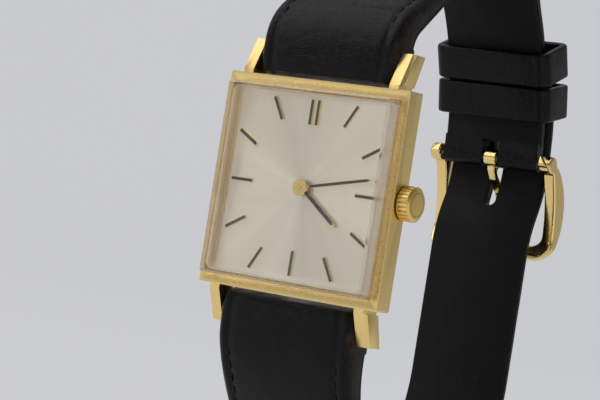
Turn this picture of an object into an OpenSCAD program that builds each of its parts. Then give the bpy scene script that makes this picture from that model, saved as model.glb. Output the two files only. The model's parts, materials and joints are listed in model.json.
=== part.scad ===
// Square gold wristwatch on a buckled leather strap, hand wound, in millimetres.
// +X points to 3 o'clock, +Z to 12 o'clock and +Y to the wrist, so the dial faces -Y.
// The origin is the centre of the case back's flat face, on the axis of the hands.
// Most of the watch is drawn lying flat, dial up, and turned upright by upright().

/* [Case] */
// Width of the case from 9 to 3 o'clock
case_w = 25.0; // [24.6:0.1:26]
// Height of the case from 6 to 12 o'clock, without the lugs
case_h = 25.36; // [25.1:0.1:26.4]
// Height of the dial's face above the case back
dial_level = 3.9; // [3.88:0.01:3.95]
// Height of the bezel's outer edge above the case back
bezel_level = 4.54; // [4.45:0.01:4.7]
// Height of the case's rear edge above the case back
flank_level = 1.8; // [1.72:0.01:1.84]
// Width of the bezel's polished strip
bezel_strip = 1.12; // [1:0.02:1.3]
// How far the bezel's strip falls towards the crystal
bezel_dish = 0.14; // [0.05:0.01:0.22]
// Width of the case back's flat face
back_flat_w = 20.4; // [19:0.1:21.4]
// Thickness of the case back's floor
back_floor = 0.45; // [0.35:0.01:0.48]

/* [Crystal] */
// Thickness of the crystal's top
crystal_top = 1.1; // [0.8:0.05:1.2]
// Thickness of the crystal's side walls
crystal_wall = 0.55; // [0.45:0.05:0.7]
// Height of the crystal's top face above the case back
crystal_level = 6.8; // [6.6:0.05:7]
// Width of the bevel round the crystal's top face
crystal_bevel = 0.3; // [0.2:0.05:0.45]

/* [Lugs] */
// Width of the strap between the lugs
strap_w = 18.7; // [18.3:0.1:18.8]
// Thickness of one lug from side to side
lug_t = 1.55; // [1.4:0.05:1.75]
// How far a lug stands out from the case's side
lug_length = 4.32; // [4.12:0.05:4.72]
// Distance from the case's side to a spring bar
bar_gap = 2.72; // [2.62:0.02:2.82]
// Height of the spring bars above the case back
bar_level = 1.9; // [1.85:0.01:1.95]

/* [Crown] */
// Radius of the crown over its flutes
crown_r = 2.05; // [1.9:0.01:2.15]
// Length of the crown
crown_len = 1.7; // [1.5:0.05:2]
// Height of the crown's axis above the case back
stem_level = 2.3; // [2.28:0.01:2.32]
// Number of flutes round the crown
crown_flutes = 24; // [16:1:30]
// How far the crown pulls out to set the hands
crown_pull = 0.6; // [0.4:0.05:0.7]

/* [Dial and hands] */
// Length of an hour marker
marker_len = 3.0; // [2.4:0.1:3.2]
// Width of an hour marker
marker_w = 0.42; // [0.3:0.02:0.5]
// Length of the minute hand from its axis
minute_len = 9.75; // [8.6:0.05:9.9]
// Length of the hour hand from its axis
hour_len = 6.7; // [5.6:0.1:7.2]
// Hour shown
show_hour = 4; // [0:1:11]
// Minute shown
show_minute = 13; // [0:1:59]

/* [Movement] */
// Radius of the movement
movement_r = 9.0; // [8.95:0.01:9.05]
// Radius of the balance wheel
balance_r = 2.8; // [2.6:0.05:2.9]

/* [Strap] */
// Thickness of the strap at the lugs
strap_t_lug = 3.6; // [3.4:0.05:3.7]
// Thickness of the strap at the buckle
strap_t_buckle = 2.2; // [2:0.05:2.3]
// Thickness of the single tail end that goes through the buckle
tail_t = 1.8; // [1.6:0.05:1.9]
// Width of the strap at the buckle
buckle_w = 14.0; // [13:0.1:14.2]
// Thickness of the strap's lining
lining_t = 0.7; // [0.5:0.05:0.8]
// Free gap between leather layers that slide on each other
layer_gap = 0.32; // [0.3:0.01:0.4]

/* [Buckle] */
// Radius of the buckle's bar
buckle_bar_r = 0.6; // [0.5:0.05:0.65]
// Width of the buckle's side arms
buckle_arm = 1.7; // [1.5:0.05:1.9]
// Thickness of the buckle's frame
buckle_t = 1.5; // [1.3:0.05:1.6]
// How far the buckle's frame bows out from its chord
buckle_bow = 2.8; // [2.7:0.05:3]
// Length of one keeper along the strap
keeper_len = 4.4; // [3.8:0.1:4.5]
// Thickness of a keeper's leather
keeper_t = 1.0; // [0.8:0.05:1.1]

/* [Hidden] */
$fn = 64;
eps = 0.01;

// Places of a lug's tip and of a spring bar, from the hands' axis
lug_reach = case_h / 2 + lug_length;
bar_reach = case_h / 2 + bar_gap;

// Clearances
run_gap = 0.04;
free_gap = 0.1;
seat_gap = 0.05;

// Colours
gold = [0.80, 0.64, 0.30];
steel = [0.74, 0.75, 0.77];
gilt = [0.78, 0.60, 0.34];
brass = [0.80, 0.66, 0.36];
silver_dial = [0.84, 0.81, 0.73];
black = [0.06, 0.06, 0.06];
lining_grey = [0.22, 0.22, 0.23];
ruby = [0.72, 0.10, 0.22];

// Case, seen dial up
case_half = [case_w / 2, case_h / 2];
bezel_hole = [case_half.x - bezel_strip, case_half.y - bezel_strip];
flange_t = 0.25;
flange_ledge = 0.52;
dial_hole = [bezel_hole.x - flange_ledge, bezel_hole.y - flange_ledge];
cavity_half = [case_half.x - 1.3, case_half.y - 1.3];
case_corner = 0.2;
dial_t = 0.4;
dial_back = dial_level - dial_t;
dial_half = [cavity_half.x - 0.1, cavity_half.y - 0.1];

// Case back
back_shoulder = 0.6;
back_wall = 0.5;
back_rim_half = [case_half.x - back_shoulder, case_half.y - back_shoulder];
back_flat_half = [back_flat_w / 2, back_flat_w / 2 + (case_h - case_w) / 2];
back_slope_level = 1.1;
gasket_t = 0.25;
gasket_inset = 0.32;
lip_h = 0.55;

// Lugs, as a side outline of height against distance to 12 o'clock
lug_in = strap_w / 2 + 0.15;
lug_out = lug_in + lug_t;
lug_neck = 0.5;
lug_front = bezel_level - 0.04;
lug_tip_front = 2.7;
lug_tip_back = 0.1;
lug_base_back = 1.5;
lug_chamfer = 0.25;
tip_r = 0.4;
tip_hole_r = tip_r + run_gap;
bar_tube_r = 0.75;
bar_tip_seat = 1.1;
tip_inside = 1.6;
tip_travel = 1.0;

// Stem, crown and keyless works
stem_r = 0.45;
stem_end_x = 2.8;
tube_r = 0.95;
tube_bore_r = stem_r + run_gap;
crown_gap = 0.14;
crown_x0 = case_half.x + crown_gap;
crown_recess_r = tube_r + 0.15;
crown_recess = 0.7;
square_side = 0.6;
square_from = 4.3;
square_to = 7.95;
lever_groove_x = 8.4;
lever_groove_w = 0.5;
lever_groove_r = 0.28;

// Levels in the movement, from the case back upwards
cock_z = [0.62, 0.86];
hairspring_z = [0.93, 1.03];
balance_z = [1.12, 1.38];
ratchet_z = [0.9, 1.2];
crown_wheel_z = [0.9, 1.3];
bridge_z = [1.25, 1.65];
fourth_z = [1.45, 1.6];
centre_z = [1.72, 1.86];
barrel_z = [1.95, 2.82];
barrel_teeth_z = [2.45, 2.75];
centre_pinion_z = [2.4, 2.85];
third_pinion_z = [1.67, 1.95];
third_z = [2.03, 2.16];
fourth_pinion_z = [1.98, 2.2];
escape_pinion_z = [1.42, 1.68];
escape_z = [2.0, 2.14];
pallet_z = [2.0, 2.14];
roller_z = [1.74, 1.88];
plate_z = [2.25, dial_back];
barrel_pit = 2.87;
works_floor = 3.07;
cannon_teeth_z = [3.11, 3.23];
minute_wheel_z = [3.11, 3.22];
minute_pinion_z = [3.22, 3.42];
hour_wheel_z = [3.29, 3.41];
setting_z = [3.11, 3.32];

// Tooth numbers
barrel_n = 60;
centre_pinion_n = 10;
centre_n = 64;
third_pinion_n = 8;
third_n = 60;
fourth_pinion_n = 8;
fourth_n = 60;
escape_pinion_n = 6;
escape_n = 15;
cannon_n = 12;
minute_wheel_n = 36;
minute_pinion_n = 10;
hour_wheel_n = 40;
setting_n = 16;
winding_n = 12;
crown_wheel_n = 24;
ratchet_n = 42;

// Pitch radii, from each pair's module
centre_pinion_r = 0.6506;
barrel_r = centre_pinion_r * barrel_n / centre_pinion_n;
third_pinion_r = 0.4;
centre_r = third_pinion_r * centre_n / third_pinion_n;
fourth_pinion_r = 0.38;
third_r = fourth_pinion_r * third_n / fourth_pinion_n;
escape_pinion_r = 0.27;
fourth_r = escape_pinion_r * fourth_n / escape_pinion_n;
escape_r = 1.8;
cannon_r = 0.66;
minute_wheel_r = cannon_r * minute_wheel_n / cannon_n;
minute_pinion_r = (cannon_r + minute_wheel_r) / (1 + hour_wheel_n / minute_pinion_n);
hour_wheel_r = minute_pinion_r * hour_wheel_n / minute_pinion_n;
setting_r = minute_wheel_r * setting_n / minute_wheel_n;
winding_r = 1.02;
crown_wheel_r = winding_r * crown_wheel_n / winding_n;
ratchet_r = crown_wheel_r * ratchet_n / crown_wheel_n;

// Plan of the movement: directions and centres, seen dial up
function polar(r, a) = [r * cos(a), r * sin(a)];
function heading(a, b) = atan2(b.y - a.y, b.x - a.x);
centre_at = [0, 0];
barrel_dir = 70.77;
barrel_at = polar(barrel_r + centre_pinion_r, barrel_dir);
third_dir = 198.3;
third_at = polar(centre_r + third_pinion_r, third_dir);
fourth_dir = -86.2;
fourth_at = third_at + polar(third_r + fourth_pinion_r, fourth_dir);
escape_dir = -44.5;
escape_at = fourth_at + polar(fourth_r + escape_pinion_r, escape_dir);
balance_at = [2.3, -5.2];
pallet_share = 0.56;
pallet_at = escape_at + (balance_at - escape_at) * pallet_share;
crown_wheel_at = [barrel_at.x + sqrt(pow(crown_wheel_r + ratchet_r, 2) - pow(barrel_at.y, 2)), 0];
winding_x = crown_wheel_at.x + crown_wheel_r;
minute_dir = -60;
minute_wheel_at = polar(cannon_r + minute_wheel_r, minute_dir);
setting_dir = 16;
setting_at = minute_wheel_at + polar(minute_wheel_r + setting_r, setting_dir);

// Phase that puts the second wheel of a pair in mesh with the first
function mesh(dir, n_a, phase_a, n_b) = dir + 180 - 180 / n_b + (dir - phase_a) * n_a / n_b;
barrel_phase = barrel_dir + 180;
centre_pinion_phase = mesh(barrel_dir + 180, barrel_n, barrel_phase, centre_pinion_n);
centre_phase = 0;
third_pinion_phase = mesh(third_dir, centre_n, centre_phase, third_pinion_n);
third_phase = 0;
fourth_pinion_phase = mesh(fourth_dir, third_n, third_phase, fourth_pinion_n);
fourth_phase = 0;
escape_pinion_phase = mesh(escape_dir, fourth_n, fourth_phase, escape_pinion_n);
cannon_phase = 0;
minute_wheel_phase = mesh(minute_dir, cannon_n, cannon_phase, minute_wheel_n);
hour_wheel_phase = 0;
minute_pinion_phase = mesh(minute_dir, hour_wheel_n, hour_wheel_phase, minute_pinion_n);
setting_phase = mesh(setting_dir, minute_wheel_n, minute_wheel_phase, setting_n);
crown_wheel_phase = 180 / crown_wheel_n;
ratchet_dir = heading(crown_wheel_at, barrel_at);
ratchet_phase = mesh(ratchet_dir, crown_wheel_n, crown_wheel_phase, ratchet_n);

// Hands, as clock angles from 12 o'clock
minute_angle = show_minute * 6;
hour_angle = show_hour * 30 + show_minute / 2;
hour_hand_z = [4.12, 4.27];
minute_hand_z = [4.5, 4.65];
hub_r = 0.97;
hour_hub_r = 0.8;
hour_pipe_r = 0.62;
cannon_pipe_r = 0.4;
centre_arbor_r = 0.24;

// Strap route in its own plane: distance behind the case back against height.
// Each step is [radius, turn in degrees], or [0, length] where it runs straight.
bar_back = -bar_level;
step_len = 2.4;
back_arc_r = 35;
route_12 = [[0, 1.5], [5.5, 53], [0, 17], [13.2, 88], [back_arc_r, 37]];
route_6 = [[0, 1.3], [17.5, 27.6], [0, 6.3], [18.7, 35], [19.9, 117.4], [0, 16.91]];
tail_shift_r = 14;
tail_offset = (strap_t_buckle + tail_t) / 2 + layer_gap + 0.1;
tail_route = [[-tail_shift_r, -23.15], [tail_shift_r, 23.15], [back_arc_r + tail_offset, 24]];
eye_r = strap_t_lug / 2 + 0.05;
eye_bore_r = bar_tube_r + seat_gap;
taper_from = 3;
taper_to = 46;
strap_from = 0.2;
lining_from = 2.4;
tail_end = 6;
tail_point = 0.3;
hole_r = 0.9;
hole_pitch = 5.5;
holes_after = 2;
tongue_hole_after = 9;

// Buckle, drawn from its bar: distance along the strap against distance outwards
bar_eye_r = 1.2;
frame_end = [11.5, 2.6];
frame_half = buckle_w / 2 + 0.4 + buckle_arm;
frame_corner = 2.2;
frame_overrun = 1.25;
tongue_w = 1.1;
tongue_t = 0.8;
tongue_eye_r = 1.15;
tongue_eye_w = 1.8;
tongue_line = [[0, 0], [1.5, 0.1], [2.6, 0.9], [4.3, 3.0], [5.6, 3.9], [9.4, 4.5], [12.2, 4.42]];
tongue_slot = 0.45;
fixed_keeper_back = 7.9;
free_keeper_back = 12.85;

// Shared shapes, drawn lying flat
module upright() rotate([90, 0, 0]) children();
module at(p) translate([p.x, p.y, 0]) children();
module slab(half, z) translate([-half.x, -half.y, z[0]]) cube([2 * half.x, 2 * half.y, z[1] - z[0]]);
module disc(r, z) translate([0, 0, z[0]]) cylinder(r = r, h = z[1] - z[0]);
module plate(z) translate([0, 0, z[0]]) linear_extrude(height = z[1] - z[0]) children();
module along_x(x, r) translate([x[0], 0, 0]) rotate([0, 90, 0]) cylinder(r = r, h = x[1] - x[0]);
module mirrored(v) { children(); mirror(v) children(); }

module frustum(a, b, z) {
    intersection() {
        rotate([90, 0, 0]) linear_extrude(height = 2 * max(a.y, b.y), center = true)
            polygon([[-a.x, z[0]], [a.x, z[0]], [b.x, z[1]], [-b.x, z[1]]]);
        rotate([90, 0, 90]) linear_extrude(height = 2 * max(a.x, b.x), center = true)
            polygon([[-a.y, z[0]], [a.y, z[0]], [b.y, z[1]], [-b.y, z[1]]]);
    }
}

module rounded(half, r) {
    square([2 * half.x, 2 * (half.y - r)], center = true);
    square([2 * (half.x - r), 2 * half.y], center = true);
    for (x = [-1, 1], y = [-1, 1]) translate([x * (half.x - r), y * (half.y - r)]) circle(r);
}

module bar_2d(a, b, w) {
    translate(a) rotate(heading(a, b)) translate([0, -w / 2]) square([norm(b - a), w]);
    translate(a) circle(w / 2);
    translate(b) circle(w / 2);
}

// Gear teeth with straight flanks and backlash on both sides
root_share = 0.27;
tip_share = 0.11;
function gear_points(n, r, phase, m) = [
    for (i = [0:n - 1])
        for (c = [[r - 1.1 * m, -root_share], [r + 0.8 * m, -tip_share],
                  [r + 0.8 * m, tip_share], [r - 1.1 * m, root_share]])
            polar(c[0], phase + (i + c[1]) * 360 / n)];
module gear_2d(n, r, phase) polygon(gear_points(n, r, phase, 2 * r / n));

module arms_cut(outer, inner, arms, arm_w) {
    difference() {
        circle(outer);
        circle(inner);
        for (k = [0:arms - 1]) rotate(k * 360 / arms) translate([0, -arm_w / 2]) square([outer, arm_w]);
    }
}

module wheel(n, r, phase, z, arms, hub) {
    plate(z) difference() {
        gear_2d(n, r, phase);
        arms_cut(r - 4.2 * r / n - 0.12, hub, arms, 0.3);
    }
}

pivot_r = 0.08;
pivot_len = 0.2;
module arbor(r, z) {
    disc(r, z);
    disc(pivot_r, [z[0] - pivot_len, z[1] + pivot_len]);
}

// Case
module case_body() {
    color(gold) upright() difference() {
        union() {
            plate([flank_level, bezel_level]) rounded(case_half, case_corner);
            mirrored([1, 0, 0]) mirrored([0, 1, 0]) lug();
        }
        frustum(bezel_hole, case_half, [bezel_level - bezel_dish, bezel_level + eps]);
        slab(bezel_hole, [dial_level + flange_t, bezel_level]);
        slab(dial_hole, [dial_level - eps, bezel_level]);
        slab(cavity_half, [0, dial_level]);
        translate([0, 0, stem_level]) along_x([0, case_half.x + 1], tube_r);
    }
}

module lug() {
    root = case_half.y - lug_neck;
    neck = case_half.y + lug_neck;
    slope = atan2(lug_tip_front - lug_front, lug_reach - neck);
    difference() {
        translate([lug_in, 0, 0]) rotate([90, 0, 90]) linear_extrude(height = lug_t)
            polygon([[root, flank_level + eps], [root, lug_front], [neck, lug_front],
                     [lug_reach, lug_tip_front], [lug_reach, lug_tip_back], [neck, lug_base_back]]);
        translate([lug_out, neck, lug_front]) rotate([slope, 0, 0]) rotate([0, 45, 0])
            translate([-lug_chamfer / 2, -eps, -lug_chamfer * 2]) cube([lug_chamfer * 2, case_h, lug_chamfer * 4]);
        translate([lug_out - lug_chamfer, case_half.y, 0]) cube([lug_t, lug_neck, bezel_level * 2]);
        translate([0, bar_reach, bar_level]) along_x([0, lug_in + bar_tip_seat + free_gap], tip_hole_r);
    }
}

module case_back() {
    top = flank_level - seat_gap;
    inner = [cavity_half.x - back_wall, cavity_half.y - back_wall];
    groove = [cavity_half.x + gasket_inset, cavity_half.y + gasket_inset];
    color(gold) upright() difference() {
        union() {
            frustum(back_flat_half, back_rim_half, [0, back_slope_level]);
            slab(back_rim_half, [back_slope_level, top]);
            slab([cavity_half.x - seat_gap, cavity_half.y - seat_gap], [back_floor, flank_level + lip_h]);
        }
        frustum([inner.x - 1.2, inner.y - 1.2], inner, [back_floor, back_slope_level + eps]);
        slab(inner, [back_slope_level, dial_level]);
        difference() {
            slab(groove, [top - gasket_t, dial_level]);
            slab([cavity_half.x - seat_gap, cavity_half.y - seat_gap], [0, dial_level]);
        }
        translate([0, 0, stem_level]) along_x([0, case_half.x], tube_r + free_gap);
    }
}

module back_gasket() {
    outer = [cavity_half.x + gasket_inset - seat_gap, cavity_half.y + gasket_inset - seat_gap];
    color(black) upright() difference() {
        slab(outer, [flank_level - seat_gap - gasket_t, flank_level]);
        slab(cavity_half, [0, flank_level + eps]);
        translate([0, 0, stem_level]) along_x([0, case_w], tube_r + free_gap);
    }
}

module crystal() {
    half = [bezel_hole.x - seat_gap, bezel_hole.y - seat_gap];
    top_half = [half.x - crystal_bevel, half.y - crystal_bevel];
    foot = dial_level + flange_t;
    bevel_from = crystal_level - crystal_bevel;
    color([0.9, 0.93, 0.95, 0.4]) upright() difference() {
        intersection() {
            plate([foot, crystal_level]) rounded(half, 0.5);
            union() {
                slab(half, [foot, bevel_from]);
                frustum(half, top_half, [bevel_from, crystal_level]);
            }
        }
        plate([foot - eps, crystal_level - crystal_top])
            rounded([half.x - crystal_wall, half.y - crystal_wall], 0.9);
    }
}

module crown_tube() {
    color(gold) upright() translate([0, 0, stem_level]) difference() {
        along_x([cavity_half.x - 0.2, crown_x0 + crown_recess - free_gap], tube_r);
        along_x([0, case_w], tube_bore_r);
    }
}

module crown() {
    rim = 0.3;
    flute_r = crown_r * 3.14 / crown_flutes * 0.62;
    color(gold) upright() translate([crown_x0, 0, stem_level]) difference() {
        rotate([0, 90, 0]) intersection() {
            rotate_extrude() polygon([[0, 0], [crown_r - 0.12, 0], [crown_r, 0.12], [crown_r, crown_len - rim],
                                      [crown_r - rim, crown_len - 0.05], [crown_r - 0.75, crown_len], [0, crown_len]]);
            plate([-eps, crown_len + eps]) difference() {
                circle(crown_r + eps);
                for (k = [0:crown_flutes - 1]) rotate(k * 360 / crown_flutes)
                    translate([crown_r + flute_r * 0.45, 0]) circle(flute_r);
            }
        }
        along_x([-eps, crown_recess], crown_recess_r);
        along_x([0, crown_recess + 0.5], stem_r);
    }
}

module winding_stem() {
    end = crown_x0 + crown_recess + 0.5;
    color(steel) upright() translate([0, 0, stem_level]) {
        along_x([stem_end_x, square_from - crown_pull - 0.1], stem_r * 0.6);
        translate([square_from - crown_pull - 0.1, -square_side / 2, -square_side / 2])
            cube([square_to - square_from + crown_pull + 0.1, square_side, square_side]);
        along_x([square_to, lever_groove_x - lever_groove_w / 2], stem_r);
        along_x([lever_groove_x - lever_groove_w / 2, lever_groove_x + lever_groove_w / 2], lever_groove_r);
        along_x([lever_groove_x + lever_groove_w / 2, end], stem_r);
    }
}

// Dial and hands
foot_r = 0.3;
dial_feet = [[-5.0, 6.6], [5.2, -6.6]];
module dial() {
    color(silver_dial) upright() {
        difference() {
            slab(dial_half, [dial_back, dial_level]);
            disc(hour_pipe_r + free_gap, [0, dial_level * 2]);
        }
        for (p = dial_feet) at(p) disc(foot_r, [dial_back - 0.9, dial_back]);
    }
}

marker_h = 0.22;
marker_inset = [2.12, 2.2];
marker_square = [dial_hole.x - marker_inset.x, dial_hole.y - marker_inset.y];
marker_pair = 0.45;
module hour_markers() {
    size = [marker_w / 2, marker_len / 2];
    color(black) upright() for (k = [0:11]) {
        dir = [sin(30 * k), cos(30 * k)];
        reach = min(marker_square.x / max(abs(dir.x), eps), marker_square.y / max(abs(dir.y), eps));
        at(dir * reach) rotate(-30 * k) {
            if (k == 0) {
                for (side = [-1, 1]) translate([side * marker_pair, 0, 0]) slab(size, [dial_level, dial_level + marker_h]);
            } else {
                slab(size, [dial_level, dial_level + marker_h]);
            }
        }
    }
}

module hand_2d(length, w, point) {
    polygon([[-w / 2, 0], [-w / 2, length - point], [0, length], [w / 2, length - point], [w / 2, 0]]);
}

module minute_hand() {
    top = minute_hand_z[1] + 0.13;
    color(black) upright() rotate(-minute_angle) difference() {
        union() {
            plate(minute_hand_z) hand_2d(minute_len, 0.36, 0.5);
            disc(hub_r, [minute_hand_z[0], top]);
        }
        disc(cannon_pipe_r, [0, minute_hand_z[1] + 0.02]);
        disc(centre_arbor_r + run_gap, [0, top + eps]);
    }
}

module hour_hand() {
    color(black) upright() rotate(-hour_angle) difference() {
        union() {
            plate(hour_hand_z) hand_2d(hour_len, 0.5, 0.6);
            disc(hour_hub_r, hour_hand_z);
        }
        disc(hour_pipe_r, [0, hour_hand_z[1] + eps]);
    }
}

// Movement: plate, bridges and what holds them
screw_r = 0.28;
screw_head_r = 0.62;
screw_head = 0.2;
bridge_feet = [[-6.4, 4.6], [7.2, 3.4]];
train_feet = [[-8.0, -2.0], [0.6, -8.3]];
cock_foot = [6.35, -4.9];
pallet_feet = [[1.7, -7.5], [1.6, -4.0]];
jewel_r = 0.36;
jewel_t = 0.22;
train_z = [0.92, 1.32];
pallet_bridge_z = [1.5, 1.85];
keyless_slot = [3.55, 7.95];
lever_pivot = [7.7, -1.9];
lever_z = [3.11, 3.34];
yoke_pivot = [6.6, -3.0];
yoke_z = [3.11, 3.3];
clutch_groove_x = 5.35;
lever_stud_r = 0.3;
wheel_stud_r = 0.2;
stud_root = 0.2;

module movement_ring() {
    half = [cavity_half.x - back_wall - free_gap, cavity_half.y - back_wall - free_gap];
    z = [1.9, dial_back - seat_gap];
    color([0.6, 0.6, 0.6]) upright() difference() {
        slab(half, z);
        disc(movement_r + seat_gap, [0, dial_level]);
        translate([0, -0.8, 0]) cube([case_w, 1.6, dial_level]);
    }
}

module main_plate() {
    color(gilt) upright() difference() {
        disc(movement_r, plate_z);
        at(barrel_at) disc(barrel_r + 0.25, [0, barrel_pit]);
        disc(hour_wheel_r + 0.2, [works_floor, dial_level]);
        at(minute_wheel_at) disc(minute_wheel_r + 0.2, [works_floor, dial_level]);
        at(setting_at) disc(setting_r + 0.2, [works_floor, dial_level]);
        disc(centre_arbor_r + run_gap, [0, dial_level]);
        disc(centre_pinion_r + 0.25, [0, centre_pinion_z[1] + 0.04]);
        at(barrel_at) disc(0.34, [0, barrel_pit + 0.12]);
        translate([keyless_slot[0], -winding_r - 0.25, 0])
            cube([keyless_slot[1] - keyless_slot[0], 2 * winding_r + 0.5, dial_level]);
        translate([0, 0, stem_level]) along_x([stem_end_x - 0.1, keyless_slot[0]], stem_r * 0.6 + run_gap);
        translate([0, 0, stem_level]) along_x([keyless_slot[1], movement_r + 1], stem_r + run_gap);
        translate([keyless_slot[1] + 0.15, -0.35, stem_level]) cube([2, 0.7, dial_level]);
        plate([works_floor, dial_level]) {
            bar_2d(lever_pivot, [9.4, 0], 1.7);
            bar_2d(lever_pivot, [lever_groove_x, 0], 1.0);
            bar_2d(yoke_pivot, [clutch_groove_x, 0], 1.5);
            bar_2d(yoke_pivot, [clutch_groove_x - 0.6, 0], 1.5);
        }
        for (p = [third_at, fourth_at, escape_at, pallet_at, balance_at])
            at(p) disc(jewel_r, [0, plate_z[0] + jewel_t]);
        for (p = concat(bridge_feet, train_feet, [cock_foot], pallet_feet))
            at(p) disc(screw_r, [0, plate_z[0] + 0.7]);
        for (p = dial_feet) at(p) disc(foot_r + run_gap, [dial_back - 1, dial_level]);
    }
    color(gilt) upright() {
        at(minute_wheel_at) disc(wheel_stud_r, [works_floor - stud_root, dial_back - free_gap]);
        at(setting_at) disc(wheel_stud_r, [works_floor - stud_root, setting_z[1]]);
        at(lever_pivot) disc(lever_stud_r, [works_floor - stud_root, lever_z[1]]);
        at(yoke_pivot) disc(lever_stud_r, [works_floor - stud_root, yoke_z[1]]);
    }
}

// A bridge of one outline, its feet, and holes for its screws
module bridge(z, feet, foot_r) {
    difference() {
        union() {
            plate(z) children(0);
            for (p = feet) at(p) disc(foot_r, [z[0], plate_z[0]]);
        }
        for (p = feet) at(p) {
            disc(screw_r, [0, plate_z[0] + eps]);
            disc(screw_head_r, [0, z[0] + screw_head / 2]);
        }
        children(1);
    }
}

module barrel_bridge() {
    color(gilt) upright() bridge(bridge_z, bridge_feet, 1.05) {
        intersection() {
            circle(movement_r - 0.1);
            polygon([[-9, 0.7], [-2.1, 0.4], [-0.9, -0.75], [2.4, -0.9], [3.4, -2.4], [9, -2.4], [9, 9], [-9, 9]]);
        }
        union() {
            at(crown_wheel_at) difference() {
                disc(crown_wheel_r + 0.3, [0, crown_wheel_z[1] + 0.05]);
                disc(0.46, [0, dial_level]);
            }
            translate([winding_x - 0.7, -winding_r - 0.15, 0]) cube([1.5, 2 * winding_r + 0.3, dial_level]);
            disc(centre_arbor_r + run_gap, [0, dial_level]);
            at(barrel_at) disc(0.5 + run_gap, [0, dial_level]);
        }
    }
    color(gilt) upright() {
        at(crown_wheel_at) disc(0.46, [crown_wheel_z[0] - 0.02, bridge_z[1]]);
        at(click_at) disc(0.2, [ratchet_z[0] - 0.1, bridge_z[1]]);
    }
}

module train_bridge() {
    color(gilt) upright() bridge(train_z, train_feet, 0.45) {
        intersection() {
            circle(movement_r - 0.15);
            polygon([[-9, 0.3], [-2.4, 0.05], [-1.3, -1.1], [-0.6, -3.9], [-0.5, -7.3], [1.3, -7.6], [1.3, -9], [-9, -9]]);
        }
        union() {
            at(balance_at) disc(balance_r + 0.15, [0, dial_level]);
            for (p = [third_at, fourth_at, escape_at]) at(p) disc(jewel_r * 0.8, [0, dial_level]);
        }
    }
}

module balance_cock() {
    color(gilt) upright() bridge(cock_z, [cock_foot], 0.88) {
        union() {
            bar_2d(balance_at, cock_foot, 1.9);
            translate(balance_at) circle(1.25);
        }
        at(balance_at) disc(jewel_r, [0, dial_level]);
    }
}

module pallet_bridge() {
    color(gilt) upright() bridge(pallet_bridge_z, pallet_feet, 0.5) {
        union() {
            bar_2d(pallet_feet[0], pallet_at, 0.9);
            bar_2d(pallet_at, pallet_feet[1], 0.9);
        }
        at(pallet_at) disc(jewel_r * 0.8, [0, dial_level]);
    }
}

module screw(z, head_r) {
    difference() {
        union() {
            disc(head_r, [z - screw_head, z]);
            disc(screw_r, [z - eps, plate_z[0] + 0.6]);
        }
        translate([-head_r, -0.06, z - screw_head - eps]) cube([2 * head_r, 0.12, 0.08]);
    }
}

module bridge_screws() {
    color(steel) upright() {
        for (p = bridge_feet) at(p) screw(bridge_z[0] + screw_head / 2, screw_head_r);
        for (p = train_feet) at(p) screw(train_z[0] + screw_head / 2, screw_head_r * 0.65);
        at(cock_foot) screw(cock_z[0] + screw_head / 2, screw_head_r);
        for (p = pallet_feet) at(p) screw(pallet_bridge_z[0] + screw_head / 2, screw_head_r * 0.7);
        at(crown_wheel_at) disc(0.8, [crown_wheel_z[0] - 0.2, crown_wheel_z[0] - 0.02]);
    }
}

module jewel(r, z) difference() {
    disc(r, [z, z + jewel_t]);
    disc(pivot_r + 0.03, [0, dial_level]);
}

module jewels() {
    color(ruby) upright() {
        for (p = [third_at, fourth_at, escape_at]) at(p) jewel(jewel_r * 0.8, train_z[1] - jewel_t);
        at(pallet_at) jewel(jewel_r * 0.8, pallet_bridge_z[1] - jewel_t);
        at(balance_at) jewel(jewel_r, cock_z[1] - jewel_t);
        for (p = [third_at, fourth_at, escape_at, pallet_at, balance_at]) at(p) jewel(jewel_r, plate_z[0]);
    }
}

// Power and winding
module barrel() {
    wall = 0.22;
    drum = barrel_r - 0.25;
    color(brass) upright() at(barrel_at) difference() {
        union() {
            disc(drum, barrel_z);
            plate(barrel_teeth_z) gear_2d(barrel_n, barrel_r, barrel_phase);
        }
        disc(drum - wall, [barrel_z[0] + 0.12, barrel_z[1] - 0.12]);
        disc(0.5 + run_gap, [0, barrel_z[0] + 0.2]);
        disc(0.3 + run_gap, [0, dial_level]);
    }
}

spring_turns = 7;
spring_core_r = 0.8;
function coil(r0, r1, turns, steps, side) =
    [for (k = [0:turns * steps]) polar(r0 + (r1 - r0) * k / (turns * steps) + side, k * 360 / steps)];
function reversed(list) = [for (k = [len(list) - 1:-1:0]) list[k]];
module coil_2d(r0, r1, turns, steps, t)
    polygon(concat(coil(r0, r1, turns, steps, t / 2), reversed(coil(r0, r1, turns, steps, -t / 2))));

module mainspring() {
    color(steel) upright() at(barrel_at) plate([barrel_z[0] + 0.17, barrel_z[1] - 0.17])
        coil_2d(spring_core_r, barrel_r - 0.6, spring_turns, 16, 0.12);
}

ratchet_square = 0.5;
module barrel_arbor() {
    color(steel) upright() at(barrel_at) {
        slab([ratchet_square / 2, ratchet_square / 2], ratchet_z);
        disc(0.5, [ratchet_z[1], barrel_z[0] + 0.2]);
        disc(spring_core_r - 0.1, [barrel_z[0] + 0.16, barrel_z[1] - 0.16]);
        disc(0.3, [barrel_z[1] - 0.2, barrel_pit + 0.08]);
        disc(0.75, [ratchet_z[0] - 0.2, ratchet_z[0]]);
    }
}

module ratchet_wheel() {
    color(steel) upright() at(barrel_at) difference() {
        plate(ratchet_z) gear_2d(ratchet_n, ratchet_r, ratchet_phase);
        slab([ratchet_square / 2, ratchet_square / 2], [0, dial_level]);
    }
}

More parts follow.
